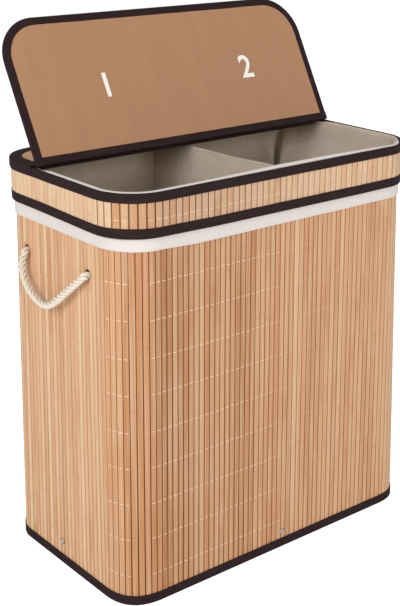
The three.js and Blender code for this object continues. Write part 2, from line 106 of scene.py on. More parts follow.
# Slats
SLAT_PITCH = 9.2 * MM
SLAT_GAP = 0.55 * MM
SLAT_THICKNESS = 2.6 * MM
SLAT_EDGE = 0.75 * MM
COLLAR_PITCH = 10.8 * MM
COLLAR_SLAT_THICKNESS = 1.7 * MM
COLLAR_SLAT_FACE = 5.0 * MM
SLAT_BOW = 0.16 * MM  # how far a slat wanders along its length, and over what lengths
SLAT_BOW_LENGTH = 230 * MM
SLAT_SWAY_LENGTH = 190 * MM
SLAT_TURN = math.radians(1.6)  # how far a slat may lie twisted in its row
SLAT_LIFTS = (-0.12 * MM, 0.06 * MM)  # how far it may lie out of its row
SLAT_WIDTH_SHARES = (0.985, 1.005)
SLAT_SEEDS = (0, 50)  # where its grain and its bends start
TONE_SPREAD = 0.16  # how a slat's tone strays from those round it, and the most that it strays
TONE_STRAY = 0.19
# How dark the slats' edges are drawn: the sawn edges' own brown plus painted shade of the seams between slats
EDGE_AND_SEAM_SHADE = 0.85

# Rows of thread that sew the slats together
THREAD_ROWS = [z * MM for z in (47, 104, 159, 214, 268, 323, 376, 430, 482)]
THREAD_WIDTH = 1.0 * MM
THREAD_SHARE = 0.72  # of a slat's width that a stitch lies on
THREAD_LIFT = 0.1 * MM  # how far a stitch's middle lies off its slat
COLLAR_THREAD_Z = 569 * MM

# Tapes
TAPE_RIB = 2.9 * MM
TAPE_RIB_DEPTH = 0.28 * MM

# Plates of the lid: each lies flat when modelled, with its top face at height zero, and is then settled in
# place
HINGE = next(j for j in frame["joints"] if j["name"] == "flap_hinge")
HINGE_PLACE = Vector(HINGE["pos_m"])
HINGE_SLIT = 0.3 * MM
FLAP_OPENING = -math.radians(HINGE["range_deg"][0])
FLAP_HALF_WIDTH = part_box("flap_binding")[1].x + 0.8 * MM
PANEL_LOW, PANEL_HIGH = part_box("rear_panel_binding")
CUFF_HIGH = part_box("liner_cuff")[1]
PLATE_THICKNESS = PANEL_HIGH.z - PANEL_LOW.z
PLATE_TAPE = 0.5 * MM
PLATE_SLAT_TOP = -0.8 * MM
PLATE_SLAT_THICKNESS = 1.4 * MM
PLATE_LINING_FACE = -4.6 * MM
PLATE_LINING_THICKNESS = 0.3 * MM
PLATE_INSET = 0.8 * MM
PLATE_THREAD_GAP = 54 * MM
PANEL_SINK = 3.7 * MM  # how far the fixed panel has sunk into the collar
PANEL_TAPE_DROP = 12 * MM  # how far its tape reaches down over the collar
PANEL_TAPE_PROUD = 0.7 * MM  # and how far it stands out from the collar's own tape
FLAP_HANG = 6 * MM  # how far the open flap's foot hangs past the line of its cloth hinge
Plate = namedtuple("Plate", "name body half_width near far tape_edge tape_width hinge_tape settle")
PANEL = Plate(
    name="rear_panel",
    body="lid",
    half_width=CUFF_HIGH.x,
    near=PANEL_LOW.y + FLAP_HANG + HINGE_SLIT / 2,
    far=CUFF_HIGH.y,
    tape_edge=PANEL_HIGH.x - CUFF_HIGH.x + PANEL_TAPE_PROUD,
    tape_width=13 * MM,
    hinge_tape=9 * MM,
    settle=Matrix.Translation((0, 0, PANEL_HIGH.z - PANEL_SINK)),
)
FLAP = Plate(
    name="flap",
    body="flap",
    half_width=FLAP_HALF_WIDTH,
    near=FLAP_HANG - HINGE_SLIT / 2,
    far=-(HALF_DEPTH + FLAP_HALF_WIDTH - HALF_WIDTH + HINGE_PLACE.y),
    tape_edge=0.0,
    tape_width=12 * MM,
    hinge_tape=FLAP_HANG + 5.5 * MM,
    settle=Matrix.Translation(HINGE_PLACE) @ Matrix.Rotation(-FLAP_OPENING, 4, "X"),
)


# Colours and materials


def srgb(code):
    """A colour written as sRGB hex, as the linear RGBA that a shader takes."""
    parts = [int(code[i : i + 2], 16) / 255 for i in (1, 3, 5)]
    linear = [c / 12.92 if c <= 0.04045 else ((c + 0.055) / 1.055) ** 2.4 for c in parts]
    return (*linear, 1.0)


def per(*sizes):
    """How often sizes in millimetres fit in a metre, for a pattern's scale."""
    return tuple(1 / (size * MM) for size in sizes)


def add(tree, kind, inputs=(), stops=(), **settings):
    """Adds a node with its settings, its inputs by name or in their order, and a ramp's stops. An input is a
    value or another node's output. Returns the node's outputs."""
    made = tree.nodes.new("ShaderNode" + kind)
    for name, value in settings.items():
        setattr(made, name, value)
    for position, _ in stops[1:-1]:
        made.color_ramp.elements.new(position)
    for element, (position, code) in zip(made.color_ramp.elements if stops else (), stops):
        element.position = position
        element.color = srgb(code)
    for socket, value in inputs.items() if isinstance(inputs, dict) else enumerate(inputs):
        if isinstance(value, bpy.types.NodeSocket):
            tree.links.new(value, made.inputs[socket])
        else:
            made.inputs[socket].default_value = value
    return made.outputs


def tinted(tree, color, *tints):
    """Lays tints over a colour, one after the other. Each has its hex code, a value, that value's two limits,
    and how strongly it shows at each of them. A value without limits is the strength itself."""
    for code, value, *limits in tints:
        share = add(tree, "MapRange", [value, *limits])[0] if limits else value
        color = add(tree, "Mix", {0: share, 6: color, 7: srgb(code)}, data_type="RGBA")[2]
    return color


def new_material(name):
    material = bpy.data.materials.new(name)
    material.use_nodes = True
    material.node_tree.nodes.clear()
    return material, material.node_tree


NODE_GAP = 580 * MM  # between the rings that the bamboo's nodes leave on a slat
NODE_RING = 2.6 * MM


def planed_bamboo():
    """Planed bamboo strip, clear satin: straight fibres and pale veins along it, toasted patches, brown sawn
    edges deepened by painted shade of the seams between slats, and the faint ring of a node here and there."""
    material, tree = new_material("planed_bamboo_satin")
    lay = add(tree, "Attribute", attribute_name="lay")["Vector"]
    tone = add(tree, "Attribute", attribute_name="tone")["Fac"]
    # edge: each slat's sawn edges, darkened further with painted shade of the seams between slats
    edge = add(tree, "Attribute", attribute_name="edge")["Fac"]
    patterns = []
    for start, sizes, detail in (
        ((0.0, 0.0, 0.0), (0.5, 0.5, 45), 4.0),
        ((3.1, 6.2, 9.3), (2.4, 2.4, 190), 2.0),
        ((7.7, 1.4, 2.1), (500, 500, 130), 2.0),
        ((2.9, 8.3, 5.5), (700, 700, 900), 1.0),
    ):
        spread = add(tree, "Mapping", {"Vector": lay, "Location": start, "Scale": per(*sizes)})[0]
        patterns.append(add(tree, "TexNoise", {"Vector": spread, "Scale": 1.0, "Detail": detail})["Fac"])
    fibre, vein, patch, blush = patterns
    height = add(tree, "SeparateXYZ", [lay])["Z"]
    ring_gap = add(tree, "Math", [height, NODE_GAP / 2], operation="PINGPONG")[0]
    broken = add(tree, "MapRange", [fibre, 0.35, 0.65, 0.05, 0.32])[0]
    ring = add(tree, "MapRange", [ring_gap, 0.0, NODE_RING, broken, 0.0])[0]
    tones = ("#A3652F", "#BC8350", "#D59F72", "#E2AF82", "#EDC094", "#FBDCB8")
    stops = list(zip((0.0, 0.2, 0.45, 0.65, 0.85, 1.0), tones))
    body = add(tree, "ValToRGB", [tone], stops=stops)["Color"]
    toasted = add(tree, "MapRange", [patch, 0.55, 0.72, 0.0, 0.35], interpolation_type="SMOOTHSTEP")[0]
    reddened = add(tree, "MapRange", [blush, 0.5, 0.68, 0.0, 0.3], interpolation_type="SMOOTHSTEP")[0]
    color = tinted(
        tree,
        body,
        ("#B47A49", fibre, 0.42, 0.68, 0.0, 0.5),
        ("#F0D0AC", vein, 0.47, 0.64, 0.0, 0.6),
        ("#BD7C46", toasted),
        ("#DC9468", reddened),
        ("#9C6A3C", ring),
        ("#8A4F1E", edge),
    )
    rough = add(tree, "MapRange", [fibre, 0.3, 0.7, 0.42, 0.58])[0]
    normal = add(tree, "Bump", {"Height": fibre, "Strength": 0.25, "Distance": 0.15 * MM})[0]
    shader = add(tree, "BsdfPrincipled", {"Base Color": color, "Roughness": rough, "Normal": normal})[0]
    add(tree, "OutputMaterial", [shader])
    return material


def spun_thread():
    """Spun polyester sewing thread, from the slats' colour up to cream by each stitch's tone, which round the
    sleeve
    is a painted glint: two plies twisted tight, with a soft sheen."""
    material, tree = new_material("spun_thread_cream")
    lay = add(tree, "Attribute", attribute_name="lay")["Vector"]
    # tone: how far a stitch is painted up to cream; round the sleeve this is a painted glint
    tone = add(tree, "Attribute", attribute_name="tone")["Fac"]
    fine = add(tree, "Mapping", {"Vector": lay, "Scale": per(0.7, 0.4, 0.4)})[0]
    ply = add(tree, "TexNoise", {"Vector": fine, "Scale": 1.0, "Detail": 2.0})["Fac"]
    toned = add(tree, "ValToRGB", [tone], stops=[(0.0, "#CF9B6D"), (1.0, "#FBE6CB")])[0]
    color = tinted(tree, toned, ("#D2A176", ply, 0.4, 0.8, 0.0, 0.25))
    normal = add(tree, "Bump", {"Height": ply, "Strength": 0.4, "Distance": 0.15 * MM})[0]
    inputs = {"Base Color": color, "Roughness": 0.6, "Sheen Weight": 0.2, "Normal": normal}
    add(tree, "OutputMaterial", [add(tree, "BsdfPrincipled", inputs)[0]])
    return material


ACROSS_WEAVE = 1000  # millimetres: the weave map has no third direction, so nothing changes along it
SLUB_GAPS = 18  # how many threads' gaps long a slub is
CLOUD = 60 * MM


def plain_weave(name, light, dark, gap, depth, slub, cloud):
    """Plain-woven cloth: warp and weft one gap apart in millimetres, slubs along both, and slow changes of
    tone."""
    material, tree = new_material(name)
    uv = add(tree, "UVMap", uv_map="weave")[0]
    split = add(tree, "SeparateXYZ", [uv])
    threads = []
    for way in ("X", "Y"):
        turned = add(tree, "Math", [split[way], 2 * math.pi / (gap * MM)], operation="MULTIPLY")[0]
        threads.append(add(tree, "Math", [turned], operation="SINE")[0])
    crossing = add(tree, "Math", threads, operation="MULTIPLY")[0]
    weave = add(tree, "MapRange", [crossing, -1.0, 1.0, 0.0, 1.0])[0]
    swellings = []
    for start, sizes in (
        ((0.0, 0.0, 0.0), (gap, SLUB_GAPS * gap, ACROSS_WEAVE)),
        ((5.9, 1.8, 0.0), (SLUB_GAPS * gap, gap, ACROSS_WEAVE)),
    ):
        spread = add(tree, "Mapping", {"Vector": uv, "Location": start, "Scale": per(*sizes)})[0]
        swellings.append(add(tree, "TexNoise", {"Vector": spread, "Scale": 1.0, "Detail": 3.0})["Fac"])
    slubs = add(tree, "Math", swellings, operation="ADD")[0]
    place = add(tree, "TexCoord")["Object"]
    soft = add(tree, "TexNoise", {"Vector": place, "Scale": 1 / CLOUD, "Detail": 3.0})["Fac"]
    color = tinted(
        tree,
        srgb(dark),
        (light, weave),
        (dark, slubs, 0.85, 1.25, 0.0, slub),
        (dark, soft, 0.35, 0.75, 0.0, cloud),
    )
    height = add(tree, "Math", [slubs, 0.6, weave], operation="MULTIPLY_ADD")[0]
    normal = add(tree, "Bump", {"Height": height, "Strength": 0.35, "Distance": depth * MM})[0]
    inputs = {"Base Color": color, "Roughness": 0.92, "Specular IOR Level": 0.3, "Normal": normal}
    add(tree, "OutputMaterial", [add(tree, "BsdfPrincipled", inputs)[0]])
    return material


TAPE_BAR = 1.1 * MM  # the real bars are half as wide, and too fine to show


def ribbed_tape():
    """Dark brown woven polyester tape: weft bars across it, a dull sheen painted as a lighter colour on its
    ribs, and lint along its edges."""
    material, tree = new_material("woven_tape_dark_brown")
    uv = add(tree, "UVMap", uv_map="weave")[0]
    split = add(tree, "SeparateXYZ", [uv])
    bar_at = add(tree, "Math", [split["X"], 2 * math.pi / TAPE_BAR], operation="MULTIPLY")[0]
    bar = add(tree, "Math", [bar_at], operation="SINE")[0]
    rib_at = add(tree, "Math", [split["Y"], 2 * math.pi / TAPE_RIB], operation="MULTIPLY")[0]
    rib_sheen = add(tree, "Math", [rib_at], operation="COSINE")[0]
    lint = add(tree, "TexNoise", {"Vector": uv, "Scale": per(1.2)[0], "Detail": 4.0})["Fac"]
    long = {"Vector": uv, "Location": (4.4, 8.8, 0), "Scale": per(45, 6, ACROSS_WEAVE)}
    worn = {"Vector": add(tree, "Mapping", long)[0], "Scale": 1.0, "Detail": 3.0}
    wear = add(tree, "TexNoise", worn)["Fac"]
    # The ribs' crests are painted lighter: a painted sheen
    color = tinted(
        tree,
        srgb("#220F12"),
        ("#301B1C", rib_sheen, -1.0, 1.0, 0.0, 0.6),
        ("#14090B", bar, -1.0, 1.0, 0.0, 0.3),
        ("#3E2728", lint, 0.5, 0.8, 0.0, 0.3),
        ("#422E2F", wear, 0.5, 0.8, 0.0, 0.3),
    )
    height = add(tree, "Math", [bar, 0.3, lint], operation="MULTIPLY_ADD")[0]
    normal = add(tree, "Bump", {"Height": height, "Strength": 0.3, "Distance": 0.2 * MM})[0]
    inputs = {"Base Color": color, "Roughness": 0.8, "Specular IOR Level": 0.25, "Normal": normal}
    add(tree, "OutputMaterial", [add(tree, "BsdfPrincipled", inputs)[0]])
    return material


def pressed_lining():
    """Light brown spun-bonded lining cloth: matt, faintly mottled and creased, pressed with small dots."""
    material, tree = new_material("spunbonded_lining_light_brown")
    uv = add(tree, "UVMap", uv_map="weave")[0]
    cells = {"Vector": uv, "Scale": per(1.6)[0], "Randomness": 0.35}
    dots = add(tree, "TexVoronoi", cells)["Distance"]
    web = add(tree, "TexNoise", {"Vector": uv, "Scale": per(2.5)[0], "Detail": 5.0})["Fac"]
    broad = {"Vector": uv, "Location": (6.1, 2.2, 0), "Scale": per(28, 160, ACROSS_WEAVE)}
    creased = {"Vector": add(tree, "Mapping", broad)[0], "Scale": 1.0, "Detail": 3.0}
    crease = add(tree, "TexNoise", creased)["Fac"]
    color = tinted(
        tree,
        srgb("#AF8463"),
        ("#9C7456", web, 0.35, 0.7, 0.0, 0.25),
        ("#B58A67", crease, 0.4, 0.7, 0.0, 0.35),
        ("#86603F", dots, 0.0, 0.35, 0.18, 0.0),
    )
    height = add(tree, "Math", [dots, 2.0, web], operation="MULTIPLY_ADD")[0]
    folds = add(tree, "Bump", {"Height": crease, "Strength": 0.5, "Distance": 3 * MM})[0]
    pressed = {"Height": height, "Strength": 0.2, "Distance": 0.12 * MM, "Normal": folds}
    normal = add(tree, "Bump", pressed)[0]
    inputs = {"Base Color": color, "Roughness": 0.88, "Specular IOR Level": 0.3, "Normal": normal}
    add(tree, "OutputMaterial", [add(tree, "BsdfPrincipled", inputs)[0]])
    return material


YARN_GAP = 1.3 * MM
YARN_SLANT = 1.4


def cotton_rope():
    """Three-strand twisted cotton rope: soft matt yarns that cross each strand on a slant, with painted shade
    in the grooves between them.
    """
    material, tree = new_material("twisted_cotton_rope")
    split = add(tree, "SeparateXYZ", [add(tree, "UVMap", uv_map="weave")[0]])
    slant = add(tree, "Math", [split["Y"], YARN_SLANT, split["X"]], operation="MULTIPLY_ADD")[0]
    yarn_at = add(tree, "Math", [slant, 2 * math.pi / YARN_GAP], operation="MULTIPLY")[0]
    yarn = add(tree, "Math", [yarn_at], operation="SINE")[0]
    place = add(tree, "TexCoord")["Object"]
    fuzz = add(tree, "TexNoise", {"Vector": place, "Scale": per(0.8)[0], "Detail": 4.0})["Fac"]
    # The grooves between the yarns are painted darker: painted shade
    color = tinted(
        tree,
        srgb("#F1E8DA"),
        ("#CBB597", yarn, -1.0, 0.4, 0.25, 0.0),
        ("#D8C8AE", fuzz, 0.4, 0.8, 0.0, 0.3),
    )
    height = add(tree, "Math", [yarn, 0.4, fuzz], operation="MULTIPLY_ADD")[0]
    normal = add(tree, "Bump", {"Height": height, "Strength": 0.45, "Distance": 0.4 * MM})[0]
    inputs = {"Base Color": color, "Roughness": 0.9, "Sheen Weight": 0.25, "Normal": normal}
    add(tree, "OutputMaterial", [add(tree, "BsdfPrincipled", inputs)[0]])
    return material


def nickel():
    """Nickel-plated steel, pressed and barrel-polished: bright, with fine random scratches."""
    material, tree = new_material("nickel_plated_steel")
    place = add(tree, "TexCoord")["Object"]
    fine = add(tree, "Mapping", {"Vector": place, "Scale": per(0.4, 0.4, 2.0)})[0]
    scratch = add(tree, "TexNoise", {"Vector": fine, "Scale": 1.0, "Detail": 4.0})["Fac"]
    color = add(tree, "ValToRGB", [scratch], stops=[(0.45, "#C9C3BA"), (0.8, "#A0978C")])[0]
    rough = add(tree, "MapRange", [scratch, 0.3, 0.7, 0.16, 0.32])[0]
    normal = add(tree, "Bump", {"Height": scratch, "Strength": 0.15, "Distance": 0.05 * MM})[0]
    inputs = {"Base Color": color, "Metallic": 1.0, "Roughness": rough, "Normal": normal}
    add(tree, "OutputMaterial", [add(tree, "BsdfPrincipled", inputs)[0]])
    return material


def fibreboard():
    """Raw medium-density fibreboard: pressed wood dust with stray darker fibres."""
    material, tree = new_material("raw_fibreboard")
    place = add(tree, "TexCoord")["Object"]
    dust = add(tree, "TexNoise", {"Vector": place, "Scale": per(0.9)[0], "Detail": 5.0})["Fac"]
    long = add(tree, "Mapping", {"Vector": place, "Scale": per(6, 2, 2)})[0]
    fleck = add(tree, "TexNoise", {"Vector": long, "Scale": 1.0, "Detail": 2.0})["Fac"]
    pressed = add(tree, "ValToRGB", [dust], stops=[(0.3, "#B0946C"), (0.7, "#93764E")])[0]
    color = tinted(tree, pressed, ("#6E5434", fleck, 0.62, 0.72, 0.0, 0.5))
    normal = add(tree, "Bump", {"Height": dust, "Strength": 0.3, "Distance": 0.1 * MM})[0]
    shader = add(tree, "BsdfPrincipled", {"Base Color": color, "Roughness": 0.85, "Normal": normal})[0]
    add(tree, "OutputMaterial", [shader])
    return material


def printed_white():
    """White screen print: a thin, slightly broken layer of matt ink."""
    material, tree = new_material("screen_print_white")
    place = add(tree, "TexCoord")["Object"]
    ink = add(tree, "TexNoise", {"Vector": place, "Scale": per(1.5)[0], "Detail": 4.0})["Fac"]
    color = add(tree, "ValToRGB", [ink], stops=[(0.5, "#FAF5EF"), (0.85, "#D9C3AE")])[0]
    normal = add(tree, "Bump", {"Height": ink, "Strength": 0.2, "Distance": 0.05 * MM})[0]
    shader = add(tree, "BsdfPrincipled", {"Base Color": color, "Roughness": 0.7, "Normal": normal})[0]
    add(tree, "OutputMaterial", [shader])
    return material


BAMBOO = planed_bamboo()
STITCH = spun_thread()
TAPE = ribbed_tape()
CUFF_CLOTH = plain_weave(
    "cotton_cloth_off_white", "#EAE3DE", "#D5CCC5", gap=1.0, depth=0.12, slub=0.3, cloud=0.15
)
LINER_CLOTH = plain_weave(
    "linen_cotton_natural", "#E0D3C5", "#B5A492", gap=1.5, depth=0.25, slub=0.7, cloud=0.25
)
BACKING_CLOTH = plain_weave(
    "cotton_scrim_natural", "#C28148", "#8A5527", gap=1.4, depth=0.2, slub=0.3, cloud=0.2
)
BASE_CLOTH = plain_weave(
    "polyester_canvas_dark_brown", "#453435", "#251A1A", gap=1.2, depth=0.2, slub=0.3, cloud=0.2
)
LINING_CLOTH = pressed_lining()
ROPE = cotton_rope()
NICKEL = nickel()
BOARD = fibreboard()
INK = printed_white()


# Modelling helpers


def deselect():
    if bpy.context.object and bpy.context.object.mode != "OBJECT":
        bpy.ops.object.mode_set(mode="OBJECT")
    for obj in bpy.context.scene.objects:
        obj.select_set(False)


def activate(*objects):
    deselect()
    for obj in objects:
        obj.select_set(True)
    bpy.context.view_layer.objects.active = objects[0]


def primitive(name, operator, **settings):
    """Adds a primitive, named, with its place and scale in its mesh."""
    deselect()
    operator(**settings)
    made = bpy.context.object
    made.name = name
    made.data.name = name
    bpy.ops.object.transform_apply(location=True, rotation=True, scale=True)
    return made


def pick(obj, kind, test):
    """In edit mode, selects the vertices, edges or faces that pass the test, and nothing else."""
    bpy.ops.mesh.select_mode(type=kind)
    bpy.ops.mesh.select_all(action="DESELECT")
    shape = bmesh.from_edit_mesh(obj.data)
    parts = {"VERT": shape.verts, "EDGE": shape.edges, "FACE": shape.faces}[kind]
    for part in parts:
        if test(part):
            part.select_set(True)
    bmesh.update_edit_mesh(obj.data)


def edit(obj):
    activate(obj)
    bpy.ops.object.mode_set(mode="EDIT")
    bpy.ops.mesh.select_all(action="SELECT")


def done(obj, angle):
    """Leaves edit mode and shades the piece smooth up to an angle."""
    activate(obj)
    bpy.ops.object.shade_smooth_by_angle(angle=math.radians(angle))


def apply_modifier(obj, kind, **settings):
    activate(obj)
    modifier = obj.modifiers.new(kind.lower(), kind)
    for name, value in settings.items():
        setattr(modifier, name, value)
    bpy.ops.object.modifier_apply(modifier=modifier.name)


def dress(obj, material, body, node=None, angle=60):
    """Finishes a piece: smooth up to an angle, with its material and its body, and hides the CAD node it
    stands for.
    """
    done(obj, angle)
    obj.data.materials.clear()
    obj.data.materials.append(material)
    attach(obj, body)
    if node:
        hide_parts(node)


def from_arrays(name, points, faces, uvs=None, values=None):
    """A mesh piece from its points and faces, each corner's place on the weave, and each point's values."""
    mesh = bpy.data.meshes.new(name)
    mesh.from_pydata([tuple(p) for p in points], [], [tuple(f) for f in faces])
    for key, data in (values or {}).items():
        vector = np.ndim(data) == 2
        layer = mesh.attributes.new(key, "FLOAT_VECTOR" if vector else "FLOAT", "POINT")
        layer.data.foreach_set("vector" if vector else "value", np.asarray(data, np.float32).ravel())
    if uvs is not None:
        layer = mesh.uv_layers.new(name="weave")
        layer.data.foreach_set("uv", np.asarray(uvs, np.float32).ravel())
    mesh.update()
    obj = bpy.data.objects.new(name, mesh)
    bpy.context.scene.collection.objects.link(obj)
    return obj


def woven_grid(name, rows, us, vs, closed_u=False, closed_v=False):
    """A mesh of quads through rows of points. Its weave map gives each column a distance along the cloth, in
    us, and each row a distance across it, in vs. A closed direction takes one value more, for where it meets
    itself."""
    count_v, count_u = len(rows), len(rows[0])
    points = [point for row in rows for point in row]
    faces, uvs = [], []
    for i in range(count_v if closed_v else count_v - 1):
        for j in range(count_u if closed_u else count_u - 1):
            below, right = (i + 1) % count_v, (j + 1) % count_u
            faces.append((i * count_u + j, i * count_u + right, below * count_u + right, below * count_u + j))
            uvs += [(us[j], vs[i]), (us[j + 1], vs[i]), (us[j + 1], vs[i + 1]), (us[j], vs[i + 1])]
    return from_arrays(name, points, faces, uvs)


def distances(points):
    """How far along an open line each of its points lies."""
    run = [0.0]
    for a, b in zip(points, points[1:]):
        run.append(run[-1] + math.dist(a, b))
    return run


def turned_out(obj):
    """Merges doubles and points every face outwards."""
    edit(obj)
    bpy.ops.mesh.remove_doubles(threshold=0.00001)
    bpy.ops.mesh.normals_make_consistent(inside=False)
    bpy.ops.object.mode_set(mode="OBJECT")
    return obj


def cap_ends(obj):
    """Closes the open ends of a tube of cloth."""
    edit(obj)
    bpy.ops.mesh.select_mode(type="EDGE")
    bpy.ops.mesh.select_all(action="DESELECT")
    bpy.ops.mesh.select_non_manifold()
    bpy.ops.mesh.edge_face_add()
    bpy.ops.object.mode_set(mode="OBJECT")
    turned_out(obj)


def closed_strip(name, rows, us, vs, settle=Matrix()):
    """A strip of cloth or tape, closed at its ends and settled in its place."""
    made = woven_grid(name, rows, us, vs, closed_v=True)
    cap_ends(made)
    made.data.transform(settle)
    return made


def clamp(value, low=0.0, high=1.0):
    return min(max(value, low), high)


def smooth_pick(low, high, value):
    """Zero before low, one past high, and smooth between them."""
    t = clamp((value - low) / (high - low))
    return t * t * (3 - 2 * t)


def lump(x, y, z):
    """Smooth noise from 0 to 1 over a place, given in lumps' sizes."""
    return 0.5 + 0.5 * noise.noise(Vector((x, y, z)))


def wander(seed, distance, size):
    """Smooth seeded noise from -1 to 1 along a distance, with lumps of about a size."""
    return noise.noise(Vector((distance / size, seed, seed / 3)))


def way_along(line, i):
    """The direction of a line at one of its points."""
    return (line[min(i + 1, len(line) - 1)] - line[max(i - 1, 0)]).normalized()


def rounded(start, corner, end, t):
    """A point on the round stretch between start and end, whose straight sides would meet at a corner."""
    return start.lerp(corner, t).lerp(corner.lerp(end, t), t)


# The sleeve's outline

CORNERS = [(1, -1), (1, 1), (-1, 1), (-1, -1)]
STRAIGHTS = [2 * (half - CORNER_RADIUS) for half in (HALF_WIDTH, HALF_DEPTH) * 2]
ARC = CORNER_RADIUS * math.pi / 2
ROUND = sum(STRAIGHTS) + 4 * ARC

# The tables below go round the sleeve in slats from the front's left end, and hold millimetres. First how far
# the wall's rim stands below the collar's top: pressed down under the fixed panel, a little low on the right.
DROP_PLACES = (-30, -26, -23, -5, 0, 50, 57, 70, 73, 90)
DROPS = (3.9, 3.9, 0.4, 0.0, 0.0, 0.4, 1.7, 1.9, 3.9, 3.9)
DROP_FOOT = RIM - 45 * MM  # the wall is lower between these two heights and the rim
DROP_TOP = RIM - 7 * MM

# How far the cuff's fold springs up past the rim, most in the middle of the front
SPRING_PLACES = (-26, -22, -10, -2, 10, 23, 35, 43, 49, 60)
SPRINGS = (0.0, 0.2, 0.0, 0.0, 0.8, 3.2, 2.8, 1.3, 0.0, 0.0)

# How much lower the collar's foot hangs: a little in front, and pushed up at the far end of the left side
FOOT_PLACES = (-30, -24, -12, 0, 10, 40, 50)
FOOT_DROPS = (-2.4, -2.0, 0.0, 0.0, 1.5, 1.9, 1.2)
FOOT_DROP_TOP = RIM - 15 * MM
FOOT_DROP_WHOLE = COLLAR_FOOT + 14 * MM

# How much lower the cuff's hem hangs
HEM_PLACES = (-12, 0, 6, 20, 45, 52, 60)
HEM_DROPS = (0.0, 0.6, 3.0, 2.6, 2.2, 2.0, 0.0)


def slats_round(distance):
    """A distance round the sleeve in slats, negative on the left side and the left half of the back."""
    return (distance if distance < ROUND / 2 else distance - ROUND) / SLAT_PITCH


def by_place(distance, places, values):
    """A value from a table, by the distance round the sleeve."""
    return float(np.interp(slats_round(distance), places, values))


def at_rim(distance, z):
    """A height on the wall, lower near the rim where the rim stands lower."""
    return z - by_place(distance, DROP_PLACES, DROPS) * MM * smooth_pick(DROP_FOOT, DROP_TOP, z)


def at_collar(distance, z):
    """A height on the collar, lower near its foot where the foot hangs lower."""
    drop = by_place(distance, FOOT_PLACES, FOOT_DROPS) * MM
    return z - drop * smooth_pick(FOOT_DROP_TOP, FOOT_DROP_WHOLE, z)


def collar_wave(distance, offset, z):
    return offset, at_collar(distance, z)


def rim_wave(distance, offset, z):
    return offset, at_rim(distance, z)


def flare(z):
    """How far the sleeve has spread at a height: nothing under the cuff, all of it at the foot."""
    return FLARE * clamp((CUFF_FOOT - z) / (CUFF_FOOT - WALL_FOOT))


def station(distance):
    """A place round the sleeve, from the left end of the front's straight stretch, counter-clockwise from
    above: where its arc's centre lies, as shares of the half sizes, and the angle that it faces."""
    left = distance % ROUND
    for side, straight in enumerate(STRAIGHTS):
        end_x, end_y = CORNERS[side]
        start_x, start_y = CORNERS[side - 1]
        if left <= straight:
            t = left / straight
            return start_x + (end_x - start_x) * t, start_y + (end_y - start_y) * t, (side - 1) * math.pi / 2
        left -= straight
        if left <= ARC:
            return end_x, end_y, (side - 1 + left / ARC) * math.pi / 2
        left -= ARC
    return (*CORNERS[3], -math.pi / 2)


# How far a corner stands out past its round form at these heights, in millimetres, by the corner's signs: the
# soft sleeve is sharper at the foot in front, and rounder behind and at the rim
BULGE_LEVELS = (0, 60, 160, 350, 520, 605)
BULGES = {
    (-1, -1): (4.0, 3.4, 2.4, 0.8, 0.0, 0.0),
    (1, -1): (4.5, 4.0, 2.8, 0.0, -2.2, -4.2),
    (-1, 1): (-3.0, -2.8, -2.2, -1.5, -1.0, -0.5),
    (1, 1): (0.0, 0.0, 0.0, 0.0, 0.0, 0.0),
}


def bulge(side_x, side_y, angle, z):
    """How far a corner stands out past its round form, most in its middle."""
    if abs(side_x) < 1 or abs(side_y) < 1:
        return 0.0
    return math.sin(2 * angle) ** 2 * float(np.interp(z / MM, BULGE_LEVELS, BULGES[side_x, side_y])) * MM


def on_sleeve(place, offset, z, across=0.0):
    """A point at an offset from the slats' face and a height, by a station."""
    side_x, side_y, angle = place
    nx, ny = math.cos(angle), math.sin(angle)
    offset += bulge(side_x, side_y, angle + across / CORNER_RADIUS, z)
    spread = flare(z) - CORNER_RADIUS
    x = side_x * (HALF_WIDTH + spread) + nx * (CORNER_RADIUS + offset) - ny * across
    y = side_y * (HALF_DEPTH + spread) + ny * (CORNER_RADIUS + offset) + nx * across
    return x, y, z


def sleeve_columns(step, arc_steps):
    """Distances round the sleeve: about one step apart on the straight stretches, and in equal parts on each
    corner."""
    columns = []
    start = 0.0
    for straight in STRAIGHTS:
        count = max(2, round(straight / step))
        columns += [start + straight * k / count for k in range(count)]
        start += straight
        columns += [start + ARC * k / arc_steps for k in range(arc_steps)]
        start += ARC
    return columns


def side_of(distance):
    """Which side's pieces a slat joins, with half of each corner."""
    quarters = (station(distance)[2] + math.pi / 2) / (math.pi / 2)
    return SIDES[round(quarters) % 4]


def build_camera():
    forward = Vector((
        math.sin(CAMERA_YAW) * math.cos(CAMERA_PITCH),
        math.cos(CAMERA_YAW) * math.cos(CAMERA_PITCH),
        -math.sin(CAMERA_PITCH),
    ))
    level = Vector((math.cos(CAMERA_YAW), -math.sin(CAMERA_YAW), 0.0))
    up = level.cross(forward)
    right = level * math.cos(CAMERA_ROLL) + up * math.sin(CAMERA_ROLL)
    upright = up * math.cos(CAMERA_ROLL) - level * math.sin(CAMERA_ROLL)
    deselect()
    bpy.ops.object.camera_add()
    camera = bpy.context.object
    turn = Matrix((right, upright, -forward)).transposed().to_4x4()
    camera.matrix_world = Matrix.Translation(CAMERA_PLACE) @ turn
    camera.data.sensor_width = SENSOR
    camera.data.lens = FOCAL_PIXELS * SENSOR / PICTURE_HEIGHT
    camera.data.clip_start, camera.data.clip_end = CAMERA_CLIP
    bpy.context.scene.camera = camera


# Rope handles

